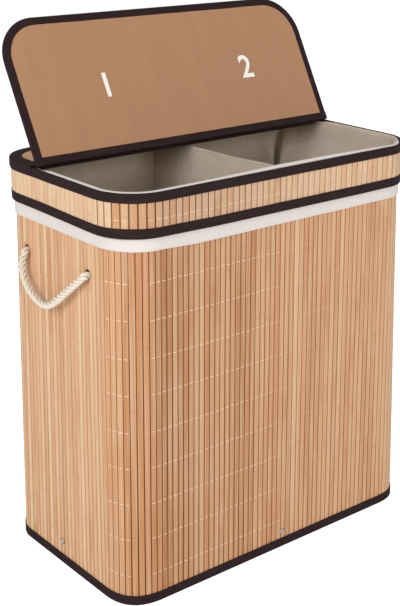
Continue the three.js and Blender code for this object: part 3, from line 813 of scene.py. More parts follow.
ROPE_DIAMETER = 11.5 * MM
ROPE_LAY = 27 * MM  # one whole turn of a strand
ROPE_HOLE = 15 * MM
ROPE_PLACES = [(85 * MM, 477 * MM), (-71.5 * MM, 479.5 * MM)]  # across and height, where it is in the wall
ROPE_LOW = 1.6 * MM  # how far below its hole's middle the rope hangs
ROPE_LEVEL = 484 * MM
STRAND_SHARE = 0.475  # of the rope's radius
STRAND_SIDES = 12
STRAND_STEP = 1.5 * MM
KNOT_COIL = 6.8 * MM  # radius of the knot's turns, at the middle of the rope
KNOT_ROPE = 4.0 * MM  # radius of the rope where the knot squeezes it
KNOT_SQUEEZE = (4 * MM, 10 * MM)  # the stretch of the rope in which it narrows to that
KNOT_TURNS = 2.0
KNOT_STEPS = 24
KNOT_NEAR = 8.6 * MM  # how deep behind the hole the knot's turns end, and where they start
KNOT_FAR = 17.4 * MM
KNOT_ENTRY = (-0.5 * MM, 5 * MM, 12 * MM)  # how deep the rope's first points lie
KNOT_TUCK = 0.6 * MM  # how much deeper than the turns the rope goes before them, and how much higher
KNOT_LIFT = 2.5 * MM

# The left handle's hanging loop from its back end to its front end, in millimetres; the right one mirrors it
ROPE_ROUTE = [
    (-283.6, 78.0, 477.9),
    (-285.2, 80.4, 470.0),
    (-287.8, 79.6, 458.5),
    (-290.4, 73.4, 447.4),
    (-292.6, 63.4, 437.8),
    (-294.5, 49.6, 429.6),
    (-295.9, 33.4, 423.4),
    (-296.7, 17.0, 420.0),
    (-296.5, 2.6, 420.6),
    (-295.3, -10.4, 426.6),
    (-293.2, -23.8, 437.0),
    (-290.8, -38.0, 449.4),
    (-288.4, -52.4, 461.8),
    (-285.9, -66.0, 473.4),
    (-284.2, -73.6, 479.8),
]


def smooth_line(points, step):
    """Points one step apart on a smooth curve through all the given points."""
    knots = [2 * points[0] - points[1], *points, 2 * points[-1] - points[-2]]
    fine = []
    for a, b, c, d in zip(knots, knots[1:], knots[2:], knots[3:]):
        count = max(4, round((c - b).length / step * 4))
        for k in range(count):
            t = k / count
            curved = (2 * a - 5 * b + 4 * c - d) * t * t + (3 * b - a - 3 * c + d) * t**3
            fine.append(0.5 * (2 * b + (c - a) * t + curved))
    fine.append(points[-1])
    run = distances(fine)
    count = max(2, round(run[-1] / step))
    line = []
    at = 0
    for k in range(count + 1):
        goal = run[-1] * k / count
        while at < len(run) - 2 and run[at + 1] < goal:
            at += 1
        share = (goal - run[at]) / max(run[at + 1] - run[at], 1e-9)
        line.append(fine[at].lerp(fine[at + 1], clamp(share)))
    return line


def rope_mesh(name, line, radii):
    """Three strands twisted round a line; radii gives the rope's radius at each of its points."""
    run = distances(line)
    side = Vector((0, 0, 1)) if abs((line[1] - line[0]).normalized().z) < 0.9 else Vector((0, 1, 0))
    frames = []
    for i in range(len(line)):
        along = way_along(line, i)
        side = (side - along * side.dot(along)).normalized()
        frames.append((side, along.cross(side)))
    points, faces, uvs = [], [], []
    for strand in range(3):
        first = len(points)
        for i, middle in enumerate(line):
            a, b = frames[i]
            turn = 2 * math.pi * (run[i] / ROPE_LAY + strand / 3)
            strand_radius = radii[i] * STRAND_SHARE
            centre = middle + (a * math.cos(turn) + b * math.sin(turn)) * (radii[i] - strand_radius)
            for k in range(STRAND_SIDES):
                angle = turn + 2 * math.pi * k / STRAND_SIDES
                points.append(centre + (a * math.cos(angle) + b * math.sin(angle)) * strand_radius)
        girth = 2 * math.pi * strand_radius
        for i in range(len(line) - 1):
            for k in range(STRAND_SIDES):
                low, high = first + i * STRAND_SIDES, first + (i + 1) * STRAND_SIDES
                after = (k + 1) % STRAND_SIDES
                faces.append((low + k, low + after, high + after, high + k))
                near, far = girth * k / STRAND_SIDES, girth * (k + 1) / STRAND_SIDES
                uvs += [(run[i], near), (run[i], far), (run[i + 1], far), (run[i + 1], near)]
        for ring, turned in ((first, True), (first + (len(line) - 1) * STRAND_SIDES, False)):
            cap = [ring + k for k in range(STRAND_SIDES)]
            faces.append(tuple(reversed(cap)) if turned else tuple(cap))
            uvs += [(run[-1], 0.0)] * STRAND_SIDES
    return turned_out(from_arrays(name, points, faces, uvs))


def build_ropes():
    wall = -(HALF_WIDTH + flare(ROPE_LEVEL))
    for name, sign in (("left", 1), ("right", -1)):
        def place(x, y, z):
            return Vector((sign * x, y, z))

        back, front = (place(wall, *hole) for hole in ROPE_PLACES)
        route = [place(*(value * MM for value in point)) for point in ROPE_ROUTE]
        line = smooth_line([back, *route, front], STRAND_STEP)
        rope = rope_mesh("rope_" + name, line, [ROPE_DIAMETER / 2] * len(line))
        done(rope, 60)
        rope.data.materials.append(ROPE)
        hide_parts("rope_handle_" + name)
        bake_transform(rope)
        for end, hole in (("back", back), ("front", front)):
            build_rope_end("rope_end_" + name + "_" + end, hole, Vector((-sign, 0, 0)))


def build_rope_end(name, hole, outward):
    """The rope's end behind the wall: in through the hole, round itself twice, and tucked under."""
    side, up = Vector((0, 1, 0)), Vector((0, 0, 1))
    line = [hole - outward * depth for depth in KNOT_ENTRY]
    line.append(hole - outward * (KNOT_FAR + KNOT_TUCK) + up * KNOT_LIFT)
    for k in range(KNOT_STEPS + 1):
        t = k / KNOT_STEPS
        angle = math.pi / 2 + 2 * math.pi * KNOT_TURNS * t
        reach = KNOT_COIL * min(1.0, 0.75 + t * 2)
        depth = KNOT_FAR + (KNOT_NEAR - KNOT_FAR) * t
        line.append(hole - outward * depth + (side * math.cos(angle) + up * math.sin(angle)) * reach)
    line = smooth_line(line, STRAND_STEP)
    radii = []
    for at in distances(line):
        radii.append(ROPE_DIAMETER / 2 + (KNOT_ROPE - ROPE_DIAMETER / 2) * smooth_pick(*KNOT_SQUEEZE, at))
    knot = rope_mesh(name + "_knot", line, radii)
    dress(knot, ROPE, "body", name)


def cut_holes(obj):
    """Drills the holes that the ropes pass, along X through a piece."""
    for y, z in ROPE_PLACES:
        drill = primitive(
            "drill",
            bpy.ops.mesh.primitive_cylinder_add,
            vertices=24,
            radius=ROPE_HOLE / 2,
            depth=2.2 * HALF_WIDTH,
            location=(0, y, z + ROPE_LOW),
            rotation=(0, math.pi / 2, 0),
        )
        apply_modifier(obj, "BOOLEAN", operation="DIFFERENCE", object=drill, solver="EXACT")
        bpy.data.objects.remove(drill)


build_camera()
build_ropes()


# Slats


def model_slat(name, width, thickness, length, cuts):
    """One slat standing at the origin: X across it, its face at Y zero, Z along it."""
    slat = primitive(
        name,
        bpy.ops.mesh.primitive_cube_add,
        size=1,
        location=(0, -thickness / 2, length / 2),
        scale=(width, thickness, length),
    )
    edit(slat)
    near = thickness / 4

    def long_edge(edge, face):
        a, b = (vert.co for vert in edge.verts)
        return abs(a.z - b.z) > length / 2 and all(abs(v.y + face) < near for v in (a, b))

    pick(slat, "EDGE", lambda e: long_edge(e, 0.0))
    bpy.ops.mesh.bevel(offset=SLAT_EDGE, segments=3, profile=0.5)
    pick(slat, "EDGE", lambda e: long_edge(e, thickness) and abs(abs(e.verts[0].co.x) - width / 2) < near)
    bpy.ops.mesh.bevel(offset=SLAT_EDGE / 2, segments=1)
    for k in range(1, cuts):
        bpy.ops.mesh.select_all(action="SELECT")
        bpy.ops.mesh.bisect(plane_co=(0, 0, length * k / cuts), plane_no=(0, 0, 1))
    bpy.ops.object.mode_set(mode="OBJECT")
    return slat


def mesh_arrays(obj):
    """A model's points and faces, as arrays that its copies start from."""
    points = np.array([vert.co[:] for vert in obj.data.vertices])
    faces = [tuple(face.vertices) for face in obj.data.polygons]
    return points, faces


def copies(name, model, placed):
    """Copies of a model, joined: each has its own points, its places on the grain and its own tones."""
    _, faces = mesh_arrays(model)
    points, corners, lays, tones, edges = [], [], [], [], []
    for moved, lay, tone, edge in placed:
        first = len(points)
        points += list(moved)
        corners += [tuple(first + v for v in face) for face in faces]
        lays += list(lay)
        tones += [tone] * len(moved)
        edges += list(edge)
    return from_arrays(name, points, corners, values={"lay": lays, "tone": tones, "edge": edges})


# Slats that stand out in the photograph, by their number from the front's left end, and their tones
MARKED_SLATS = {
    -9: 0.5, -5: 0.42, -2: 0.5, 0: 0.2, 4: 0.36, 9: 0.7, 14: 0.42, 15: 0.36, 16: 0.42, 17: 0.38, 24: 0.68
}

# Round the sleeve, in slats from the front's left end: tones, how dark the painted shade in the seams between
# slats shows (fainter where the light reaches into the seams), and how far each slat is swollen into its
# seam; then, by places of their own, how bright the painted glint on the rows of thread shows
ROUND_PLACES = (-60, -12, -9, -7, -4, -1.5, 8, 18, 27, 44, 60)
TONE_SHARES = (0.75, 0.76, 0.58, 0.50, 0.46, 0.50, 0.68, 0.73, 0.70, 0.69, 0.70)
SEAM_SHADE_SHARES = (0.40, 0.42, 0.50, 0.65, 0.90, 1.10, 1.05, 0.90, 0.70, 0.62, 0.6)
SWELL_SHARES = (1.025, 1.025, 1.02, 1.01, 1.00, 0.99, 0.99, 1.00, 1.01, 1.015, 1.015)
THREAD_GLINT_PLACES = (-12, -9.4, -8.8, -5.1, -4.6, -2.2, -1.6, 19, 26, 40)
THREAD_GLINT_SHARES = (0.12, 0.15, 1.0, 1.0, 0.0, 0.05, 1.0, 0.85, 0.35, 0.15)


def slat_bow(seed, z):
    """How far a slat bows out of its row at a height."""
    return SLAT_BOW * noise.noise(Vector((seed, z / SLAT_BOW_LENGTH, 8.1)))


def slat_row(body, names, model, count, face, foot, node, marked, paler):
    """Slats side by side round the sleeve, joined by sides. Returns them, and each slat's bends for what lies
    on it."""
    points, _ = mesh_arrays(model)
    width = max(points[:, 0]) * 2
    pitch = ROUND / count
    follow = at_collar if body == "lid" else at_rim
    sides = {name: [] for name in SIDES}
    bends = []
    for i in range(count):
        distance = (i + 0.5) * pitch
        place = station(distance)
        turn = random.uniform(-1, 1) * SLAT_TURN
        wide = random.uniform(*SLAT_WIDTH_SHARES) * by_place(distance, ROUND_PLACES, SWELL_SHARES)
        lift = random.uniform(*SLAT_LIFTS)
        seed = random.uniform(*SLAT_SEEDS)
        stray = clamp(random.gauss(0.0, TONE_SPREAD), -TONE_STRAY, TONE_STRAY)
        tone = min(paler + by_place(distance, ROUND_PLACES, TONE_SHARES) + stray, 1.0)
        tone = marked.get(i, marked.get(i - count, tone))
        # The seam's painted shade, fainter where the light reaches into the seams
        seam_shade = EDGE_AND_SEAM_SHADE * by_place(distance, ROUND_PLACES, SEAM_SHADE_SHARES)
        moved = []
        for u, out, z in points:
            across = u * wide
            sway = SLAT_BOW * noise.noise(Vector((seed, z / SLAT_SWAY_LENGTH, 0.3)))
            offset = face + out + lift + slat_bow(seed, z) + across * math.sin(turn)
            moved.append(on_sleeve(place, offset, follow(distance, foot + z), across + sway))
        bends.append((place, turn, lift, seed))
        lay = [(u + seed, out, z + seed) for u, out, z in points]
        edge = [seam_shade * smooth_pick(0.36, 0.49, abs(u) / width) for u, _, _ in points]
        sides[side_of(distance)].append((moved, lay, tone, edge))
    made = {}
    for side, placed in sides.items():
        made[side] = copies(names + "_" + side, model, placed)
        dress(made[side], BAMBOO, body, node, angle=40)
    return made, bends


def drill_slats(slats):
    """Drills the rope's holes through the slats they pass, taken apart from their side for that, and gives
    the new edges the grain of their slat."""
    edit(slats)
    pick(slats, "FACE", lambda f: min(abs(f.calc_center_median().y - y) for y, _ in ROPE_PLACES) < ROPE_HOLE)
    bpy.ops.mesh.select_linked()
    bpy.ops.mesh.separate(type="SELECTED")
    bpy.ops.object.mode_set(mode="OBJECT")
    drilled = next(obj for obj in bpy.context.selected_objects if obj != slats)
    old_points = np.array([vert.co[:] for vert in drilled.data.vertices])
    old = {}
    for key, field, size in (("lay", "vector", 3), ("tone", "value", 1), ("edge", "value", 1)):
        old[key] = np.zeros(len(old_points) * size, np.float32)
        drilled.data.attributes[key].data.foreach_get(field, old[key])
    lay = old["lay"].reshape(-1, 3)
    cut_holes(drilled)
    known = {tuple(np.round(point, 6)) for point in old_points}
    for vert in drilled.data.vertices:
        if tuple(np.round(vert.co[:], 6)) in known:
            continue
        nearest = int(np.argmin(np.abs(old_points[:, 1] - vert.co.y)))
        rise = vert.co.z - old_points[nearest, 2]
        drilled.data.attributes["lay"].data[vert.index].vector = (*lay[nearest, :2], lay[nearest, 2] + rise)
        for key in ("tone", "edge"):
            drilled.data.attributes[key].data[vert.index].value = old[key][nearest]
    activate(slats, drilled)
    bpy.ops.object.join()


STITCH_BENDS = (-0.3, 0.3)  # shares of its length where a stitch starts to sink
STITCH_FLATNESS = 0.6
STITCH_SINK = 0.5 * MM  # how far its ends sink, and how much thinner they are
STITCH_TAPER = 0.35
STITCH_DROP = 0.8 * MM  # how far one end of a stitch may stand above the other, over a stitch's run
STITCH_RUN = 6 * MM
STITCH_SHIFT = 0.4 * MM
STITCH_TONES = (0.75, 1.1)


def model_stitch(length):
    """One stitch lying along X on a slat's face, its two ends sunk towards the gaps."""
    stitch = primitive(
        "stitch_model",
        bpy.ops.mesh.primitive_cylinder_add,
        vertices=6,
        radius=THREAD_WIDTH / 2,
        depth=length,
        rotation=(0, math.pi / 2, 0),
    )
    edit(stitch)
    for share in STITCH_BENDS:
        bpy.ops.mesh.select_all(action="SELECT")
        bpy.ops.mesh.bisect(plane_co=(length * share, 0, 0), plane_no=(1, 0, 0))
    bpy.ops.object.mode_set(mode="OBJECT")
    for vert in stitch.data.vertices:
        sunk = (2 * vert.co.x / length) ** 4
        vert.co.y = vert.co.y * STITCH_FLATNESS - sunk * STITCH_SINK
        vert.co.z *= 1 - STITCH_TAPER * sunk
    return stitch


def stitch_rows(name, body, bends, pitch, face, rows, strength):
    """A stitch on every slat of every row."""
    model = model_stitch(pitch * THREAD_SHARE)
    points, _ = mesh_arrays(model)
    placed = []
    for z in rows:
        for i, (place, turn, lift, seed) in enumerate(bends):
            # A stitch's tone is a painted glint: brighter by its place round the sleeve and by the sheet's
            # strength
            glint = by_place((i + 0.5) * pitch, THREAD_GLINT_PLACES, THREAD_GLINT_SHARES)
            tone = strength * glint * random.uniform(*STITCH_TONES)
            drop = random.uniform(-STITCH_DROP, STITCH_DROP)
            shift = random.uniform(-STITCH_SHIFT, STITCH_SHIFT)
            level = z + drop * 0.4
            bow = slat_bow(seed, level)
            moved = []
            for u, out, up in points:
                across = u + shift
                offset = face + out + lift + bow + across * math.sin(turn) + THREAD_LIFT
                moved.append(on_sleeve(place, offset, level + up + u * drop / STITCH_RUN, across))
            lay = [(u + seed, out, up) for u, out, up in points]
            placed.append((moved, lay, clamp(tone), [0.0] * len(points)))
    made = copies(name, model, placed)
    bpy.data.objects.remove(model)
    dress(made, STITCH, body)


def build_slats(body, sheet, node, goal, thickness, cuts, face, marked, paler, rows, strength):
    """A sheet of slats round the sleeve, about a goal apart, with the rows of thread that sew it."""
    low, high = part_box(node)
    count = round(ROUND / goal)
    pitch = ROUND / count
    model = model_slat(sheet + "_slat_model", pitch - SLAT_GAP, thickness, high.z - low.z, cuts)
    made, bends = slat_row(body, sheet + "_slats", model, count, face, low.z, node, marked, paler)
    bpy.data.objects.remove(model)
    stitch_rows(sheet + "_thread", body, bends, pitch, face, rows, strength)
    return made


wall_slats = build_slats(
    body="body",
    sheet="wall",
    node="slat_wall",
    goal=SLAT_PITCH,
    thickness=SLAT_THICKNESS,
    cuts=16,
    face=0.0,
    marked=MARKED_SLATS,
    paler=0.0,
    rows=THREAD_ROWS,
    # strength: how bright the painted glint on the thread shows
    strength=1.0,
)
for drilled_side in ("left", "right"):
    drill_slats(wall_slats[drilled_side])
build_slats(
    body="lid",
    sheet="collar",
    node="collar_slats",
    goal=COLLAR_PITCH,
    thickness=COLLAR_SLAT_THICKNESS,
    cuts=3,
    face=COLLAR_SLAT_FACE,
    marked={},
    paler=0.5,
    rows=[COLLAR_THREAD_Z],
    # strength: how bright the painted glint on the thread shows
    strength=0.8,
)


# Tapes and cloth that run round the sleeve

TAPE_STEP = 0.7 * MM
ROUNDED_STEPS = 5


def rounded_path(corners, radius, step=TAPE_STEP):
    """Points along a line of straight stretches whose corners are rounded, with the direction to its left."""
    corners = [Vector(corner) for corner in corners]
    line = [corners[0]]
    for before, corner, after in zip(corners, corners[1:], corners[2:]):
        start = corner + (before - corner).normalized() * radius
        end = corner + (after - corner).normalized() * radius
        line += [rounded(start, corner, end, k / ROUNDED_STEPS) for k in range(ROUNDED_STEPS + 1)]
    line.append(corners[-1])
    fine = []
    for a, b in zip(line, line[1:]):
        count = max(1, round((b - a).length / step))
        fine += [a.lerp(b, k / count) for k in range(count)]
    fine.append(line[-1])
    ways = [way_along(fine, i) for i in range(len(fine))]
    return fine, [Vector((-way.y, way.x)) for way in ways]


def tape_section(corners, radius, thickness, ribs=True):
    """The closed section of a folded tape, clockwise with its outside first: ribbed outside and flat inside.
    Returns it with the distance across the tape at each point."""
    fine, lefts = rounded_path(corners, radius)
    run = distances(fine)
    outside = []
    for point, left, at in zip(fine, lefts, run):
        depth = TAPE_RIB_DEPTH * (1 - math.cos(2 * math.pi * at / TAPE_RIB)) / 2 if ribs else 0.0
        outside.append(point - left * depth)
    flat = zip(fine[::3] + [fine[-1]], lefts[::3] + [lefts[-1]])
    inside = [point - left * thickness for point, left in flat]
    inside_run = run[::3] + [run[-1]]
    section = outside + inside[::-1]
    across = run + [run[-1] + thickness + run[-1] - at for at in inside_run[::-1]]
    across.append(across[-1] + thickness)
    return section, across


BAND_COLUMN = 8 * MM
BAND_COLUMNS = sleeve_columns(BAND_COLUMN, 12)


def band(name, section, across, wave, columns=BAND_COLUMNS):
    """A closed band: a section of offsets and heights carried round the sleeve, moved by a wave."""
    rows = []
    for offset, z in section:
        rows.append([on_sleeve(station(distance), *wave(distance, offset, z)) for distance in columns])
    return turned_out(woven_grid(name, rows, columns + [ROUND], across, closed_u=True, closed_v=True))


SEWN_STRAY = 0.35 * MM  # how far a tape's sewn edge wanders, and over what length
SEWN_STRAY_LENGTH = 38 * MM


def sewn_edge(seed, free_z, fold_z, follow=at_collar):
    """A tape's sewn edge wanders a little up and down, and its fold only follows the collar's or the rim's
    height."""

    def wave(distance, offset, z):
        share = (z - fold_z) / (free_z - fold_z)
        stray = SEWN_STRAY * share * share * wander(seed, distance, SEWN_STRAY_LENGTH)
        return offset, follow(distance, z) + stray

    return wave


FOOT_TAPE_INNER = -5.6 * MM
FOOT_TAPE_TOP = 12 * MM  # of the part inside
FOOT_TAPE_ROUND = 1.6 * MM
FOOT_TAPE_THICKNESS = 1.1 * MM
EDGE_TAPE_THICKNESS = 0.8 * MM


def build_wall_tapes():
    low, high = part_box("bottom_binding")
    outer = high.x - HALF_WIDTH - FLARE
    corners = [(outer, high.z), (outer, low.z), (FOOT_TAPE_INNER, low.z), (FOOT_TAPE_INNER, FOOT_TAPE_TOP)]
    section, across = tape_section(corners, FOOT_TAPE_ROUND, FOOT_TAPE_THICKNESS)
    foot = band("foot_tape", section, across, sewn_edge(3.3, high.z, low.z, at_rim))
    dress(foot, TAPE, "body", "bottom_binding")

    low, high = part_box("wall_edge_tape")
    outer = high.x - HALF_WIDTH
    section, across = tape_section([(outer, low.z), (outer, high.z)], MM, EDGE_TAPE_THICKNESS)
    section = [(2 * outer - EDGE_TAPE_THICKNESS - point.x, point.y) for point in section]
    edge = band("wall_edge_tape_woven", section, across, rim_wave)
    dress(edge, TAPE, "body", "wall_edge_tape")


BACKING_THICKNESS = 0.8 * MM
BACKING_STEPS = 10


def build_backing():
    """The scrim that the slats are glued to, seen only as a line between them."""
    low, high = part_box("wall_backing")
    tall = high.z - low.z
    face = high.x - HALF_WIDTH - flare(low.z)
    levels = [low.z + tall * k / BACKING_STEPS for k in range(BACKING_STEPS + 1)]
    section = [(face, z) for z in levels] + [(face - BACKING_THICKNESS, z) for z in levels[::-1]]
    across = distances(section) + [2 * (tall + BACKING_THICKNESS)]
    backing = band("wall_backing_cloth", section, across, rim_wave)
    cut_holes(backing)
    dress(backing, BACKING_CLOTH, "body", "wall_backing")


CUFF_CLOTH_THICKNESS = 0.9 * MM
CUFF_INNER = -6.5 * MM
CUFF_INSIDE_FOOT = 565 * MM
CUFF_ROUND = 2.2 * MM
CUFF_STEP = 2 * MM
CUFF_HEM = 7 * MM
CUFF_HEM_POINTS = ((0.25, 7.0), (0.7, 5.8), (0.7, 1.2), (0.1, 0.0))  # out and up from the cuff's foot, in mm
CUFF_FREE_TOP = COLLAR_FOOT + 4 * MM  # the cuff hangs free below this
CUFF_COLUMN = 5 * MM
PUFF_LENGTHS = (60 * MM, 17 * MM)  # over which the free cuff puffs out, and its hem dips
DIP_LENGTH = 75 * MM
SPRING_FOOT = RIM - 12 * MM  # the fold springs up between these two heights
SPRING_TOP = RIM - 2 * MM


def cuff_wave(distance, offset, z):
    """The fold follows the rim and springs up past it in front. Below the collar the cuff hangs free: it
    puffs out a little, and its hem dips and rises."""
    if offset < 0 or z > CUFF_FREE_TOP:
        spring = by_place(distance, SPRING_PLACES, SPRINGS) * MM
        return offset, at_rim(distance, z) + spring * smooth_pick(SPRING_FOOT, SPRING_TOP, z)
    free = smooth_pick(CUFF_FREE_TOP, CUFF_FOOT, z)
    broad, narrow = (wander(seed, distance, size) for seed, size in zip((5.1, 9.4), PUFF_LENGTHS))
    puff = 0.5 + 0.6 * broad + 0.25 * narrow
    belly = math.sin(math.pi * free) + 0.35 * free
    dip = 0.6 * wander(2.7, distance, DIP_LENGTH) - by_place(distance, HEM_PLACES, HEM_DROPS)
    return offset + puff * belly * MM, z + dip * free * MM


def build_cuff():
    low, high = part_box("liner_cuff")
    outer = CUFF_STANDOFF
    corners = [(CUFF_INNER, CUFF_INSIDE_FOOT), (CUFF_INNER, high.z), (outer, high.z), (outer, low.z)]
    fine, lefts = rounded_path(corners, CUFF_ROUND, CUFF_STEP)
    outside = [tuple(point) for point in fine]
    inside = [tuple(point - left * CUFF_CLOTH_THICKNESS) for point, left in zip(fine, lefts)]
    while outside[-1][1] < low.z + CUFF_HEM + MM:
        outside.pop()
    hem = [(outer + out * MM, low.z + rise * MM) for out, rise in CUFF_HEM_POINTS]
    section = outside + hem + inside[::-1]
    run = distances(section)
    across = run + [run[-1] + CUFF_CLOTH_THICKNESS]
    cuff = band("liner_cuff_cloth", section, across, cuff_wave, sleeve_columns(CUFF_COLUMN, 16))
    dress(cuff, CUFF_CLOTH, "body", "liner_cuff")
    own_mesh(cuff)


# Liner

BAG_FACE = -6.8 * MM
BAG_TOP = 601 * MM
BAG_FOOT = 6.6 * MM
BAG_FOOT_INSET = 10.4 * MM
BAG_FOOT_ROUND = 120 * MM  # the height up to which the bag leaves the wall for its foot
BAG_HELD = 60 * MM  # the bag is held at its top, and hangs quite free from this far below it
BAG_CLOTH_THICKNESS = 0.9 * MM
BAG_NARROWING = 17 * MM
BAG_SLACK = 3.5 * MM  # how deep its broad folds, its wrinkles and the floor's ripples are, and how wide
BAG_SLACK_WIDTH = 150 * MM
BAG_SLACK_HEIGHT = 420 * MM
BAG_WRINKLE = 2.6 * MM
BAG_WRINKLE_WIDTH = 45 * MM
BAG_WRINKLE_HEIGHT = 260 * MM
BAG_RIPPLE = 1.6 * MM
BAG_RIPPLE_WIDTH = 70 * MM
BAG_COLUMN = 9 * MM
BAG_LEVELS = 56
BAG_RINGS = 12
KNOT_REACH = 34 * MM  # how far along the wall from a knot the bag passes round it, and wholly
KNOT_MIDDLE = 8 * MM
KNOT_HEIGHTS = (95 * MM, 26 * MM)  # the same above and below the knots

# The bag hangs pulled in at its far right corner, with a narrow deep fold in the middle
CORNER_FOLD = 22 * MM
CORNER_FOLD_REACH = 70 * MM
CORNER_FOLD_WIDTH = 30 * MM
CORNER_FOLD_MIDDLE = 2 * MM

# On the right the bag's seam has rolled over the fold: how far inside the slats' face, and how far above the
# bag's top, in millimetres, from its outer edge inwards. Elsewhere it stands up by a share of that.
BAG_ROLL = [(0.6, 4.9), (3.4, 5.1), (5.6, 4.6), (6.6, 3.0)]
ROLL_PLACES = (46, 52, 72, 76)
ROLL_SHARES = (0.0, 1.0, 1.0, 0.0)
ROLL_LEFT_SHARE = 0.1


def bag_inset(distance, z):
    """How far inside the slats' face the bag hangs: it follows the wall, wrinkles, and passes round the
    knots."""
    inset = -BAG_FACE
    inset += (BAG_FOOT_INSET + BAG_FACE) * smooth_pick(BAG_FOOT_ROUND, BAG_FOOT, z)
    free = smooth_pick(BAG_TOP, BAG_TOP - BAG_HELD, z)
    x, y, _ = on_sleeve(station(distance), 0, z)
    slack = lump(x / BAG_SLACK_WIDTH, y / BAG_SLACK_WIDTH, z / BAG_SLACK_HEIGHT)
    fold = lump(x / BAG_WRINKLE_WIDTH, y / BAG_WRINKLE_WIDTH, z / BAG_WRINKLE_HEIGHT + 4)
    inset += free * (BAG_SLACK * slack + BAG_WRINKLE * fold * fold)
    off_corner = abs(distance - STRAIGHTS[0] - STRAIGHTS[1] - 1.5 * ARC)
    pulled = smooth_pick(CORNER_FOLD_REACH, 0.35 * CORNER_FOLD_REACH, off_corner)
    pulled *= smooth_pick(CORNER_FOLD_MIDDLE, CORNER_FOLD_WIDTH / 2, off_corner)
    inset += CORNER_FOLD * free * pulled
    on_side = smooth_pick(HALF_WIDTH - 0.7 * CORNER_RADIUS, HALF_WIDTH - 0.1 * CORNER_RADIUS, abs(x))
    over_knots = smooth_pick(*KNOT_HEIGHTS, abs(z - ROPE_LEVEL))
    near_knot = smooth_pick(KNOT_REACH, KNOT_MIDDLE, min(abs(y - hole) for hole, _ in ROPE_PLACES))
    return inset + BAG_NARROWING * on_side * over_knots * (0.72 + 0.28 * near_knot)


def build_bag():
    columns = sleeve_columns(BAG_COLUMN, 36)
    levels = [BAG_TOP - (BAG_TOP - BAG_FOOT) * (k / BAG_LEVELS) ** 0.92 for k in range(BAG_LEVELS + 1)]
    rows = []
    for inset, rise in BAG_ROLL:
        row = []
        for d in columns:
            rolled = by_place(d, ROLL_PLACES, ROLL_SHARES)
            out = BAG_FACE - rolled * (inset * MM + BAG_FACE)
            level = at_rim(d, BAG_TOP) + rise * (rolled + ROLL_LEFT_SHARE) * MM
            row.append(on_sleeve(station(d), out, level))
        rows.append(row)
    rows += [[on_sleeve(station(d), -bag_inset(d, z), at_rim(d, z)) for d in columns] for z in levels]
    run = distances([(0.0, BAG_TOP + rise * MM) for _, rise in BAG_ROLL] + [(0.0, z) for z in levels])
    last = rows[-1]
    for ring in range(1, BAG_RINGS):
        share = 1 - ring / BAG_RINGS
        row = []
        for x, y, z in last:
            ripple = BAG_RIPPLE * lump(x * share / BAG_RIPPLE_WIDTH, y * share / BAG_RIPPLE_WIDTH, 1.7)
            row.append((x * share, y * share, z + ripple * min(1.0, 4 * ring / BAG_RINGS)))
        rows.append(row)
        run.append(run[-1] + math.dist(last[0], (0, 0, 0)) / BAG_RINGS)
    bag = woven_grid("liner_bag_cloth", rows, columns + [ROUND], run, closed_u=True)
    middle = len(bag.data.vertices)
    edit(bag)
    inner = set(range(middle - len(columns), middle))
    pick(bag, "EDGE", lambda e: e.is_boundary and all(v.index in inner for v in e.verts))
    bpy.ops.mesh.edge_face_add()
    bpy.ops.mesh.poke()
    bpy.ops.mesh.select_all(action="SELECT")
    bpy.ops.mesh.normals_make_consistent(inside=False)
    bpy.ops.object.mode_set(mode="OBJECT")
    apply_modifier(bag, "SOLIDIFY", thickness=BAG_CLOTH_THICKNESS, offset=-1, use_even_offset=False)
    dress(bag, LINER_CLOTH, "body", "liner_bag")
    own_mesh(bag)


DIVIDER_STEPS = 60
DIVIDER_DROP = 5 * MM  # how much lower its top is behind than in front, and how far it sags between
DIVIDER_SAG = 3 * MM
DIVIDER_THICKNESS = 1.5 * MM
DIVIDER_SLACK = 4.5 * MM  # how deep its folds and its wrinkles are, and how wide and high
DIVIDER_SLACK_WIDTH = 130 * MM
DIVIDER_SLACK_HEIGHT = 300 * MM
DIVIDER_WRINKLE = 1.6 * MM
DIVIDER_WRINKLE_WIDTH = 40 * MM
DIVIDER_WRINKLE_HEIGHT = 190 * MM
HEM_SIDES = 10
HEM_HALF_WIDTH = 1.1 * MM
HEM_HALF_HEIGHT = 2.0 * MM
HEM_LOW = 1.9 * MM  # how far the hem's middle lies below the wall's top edge
HEM_AROUND = 7 * MM  # the hem's girth on its weave map


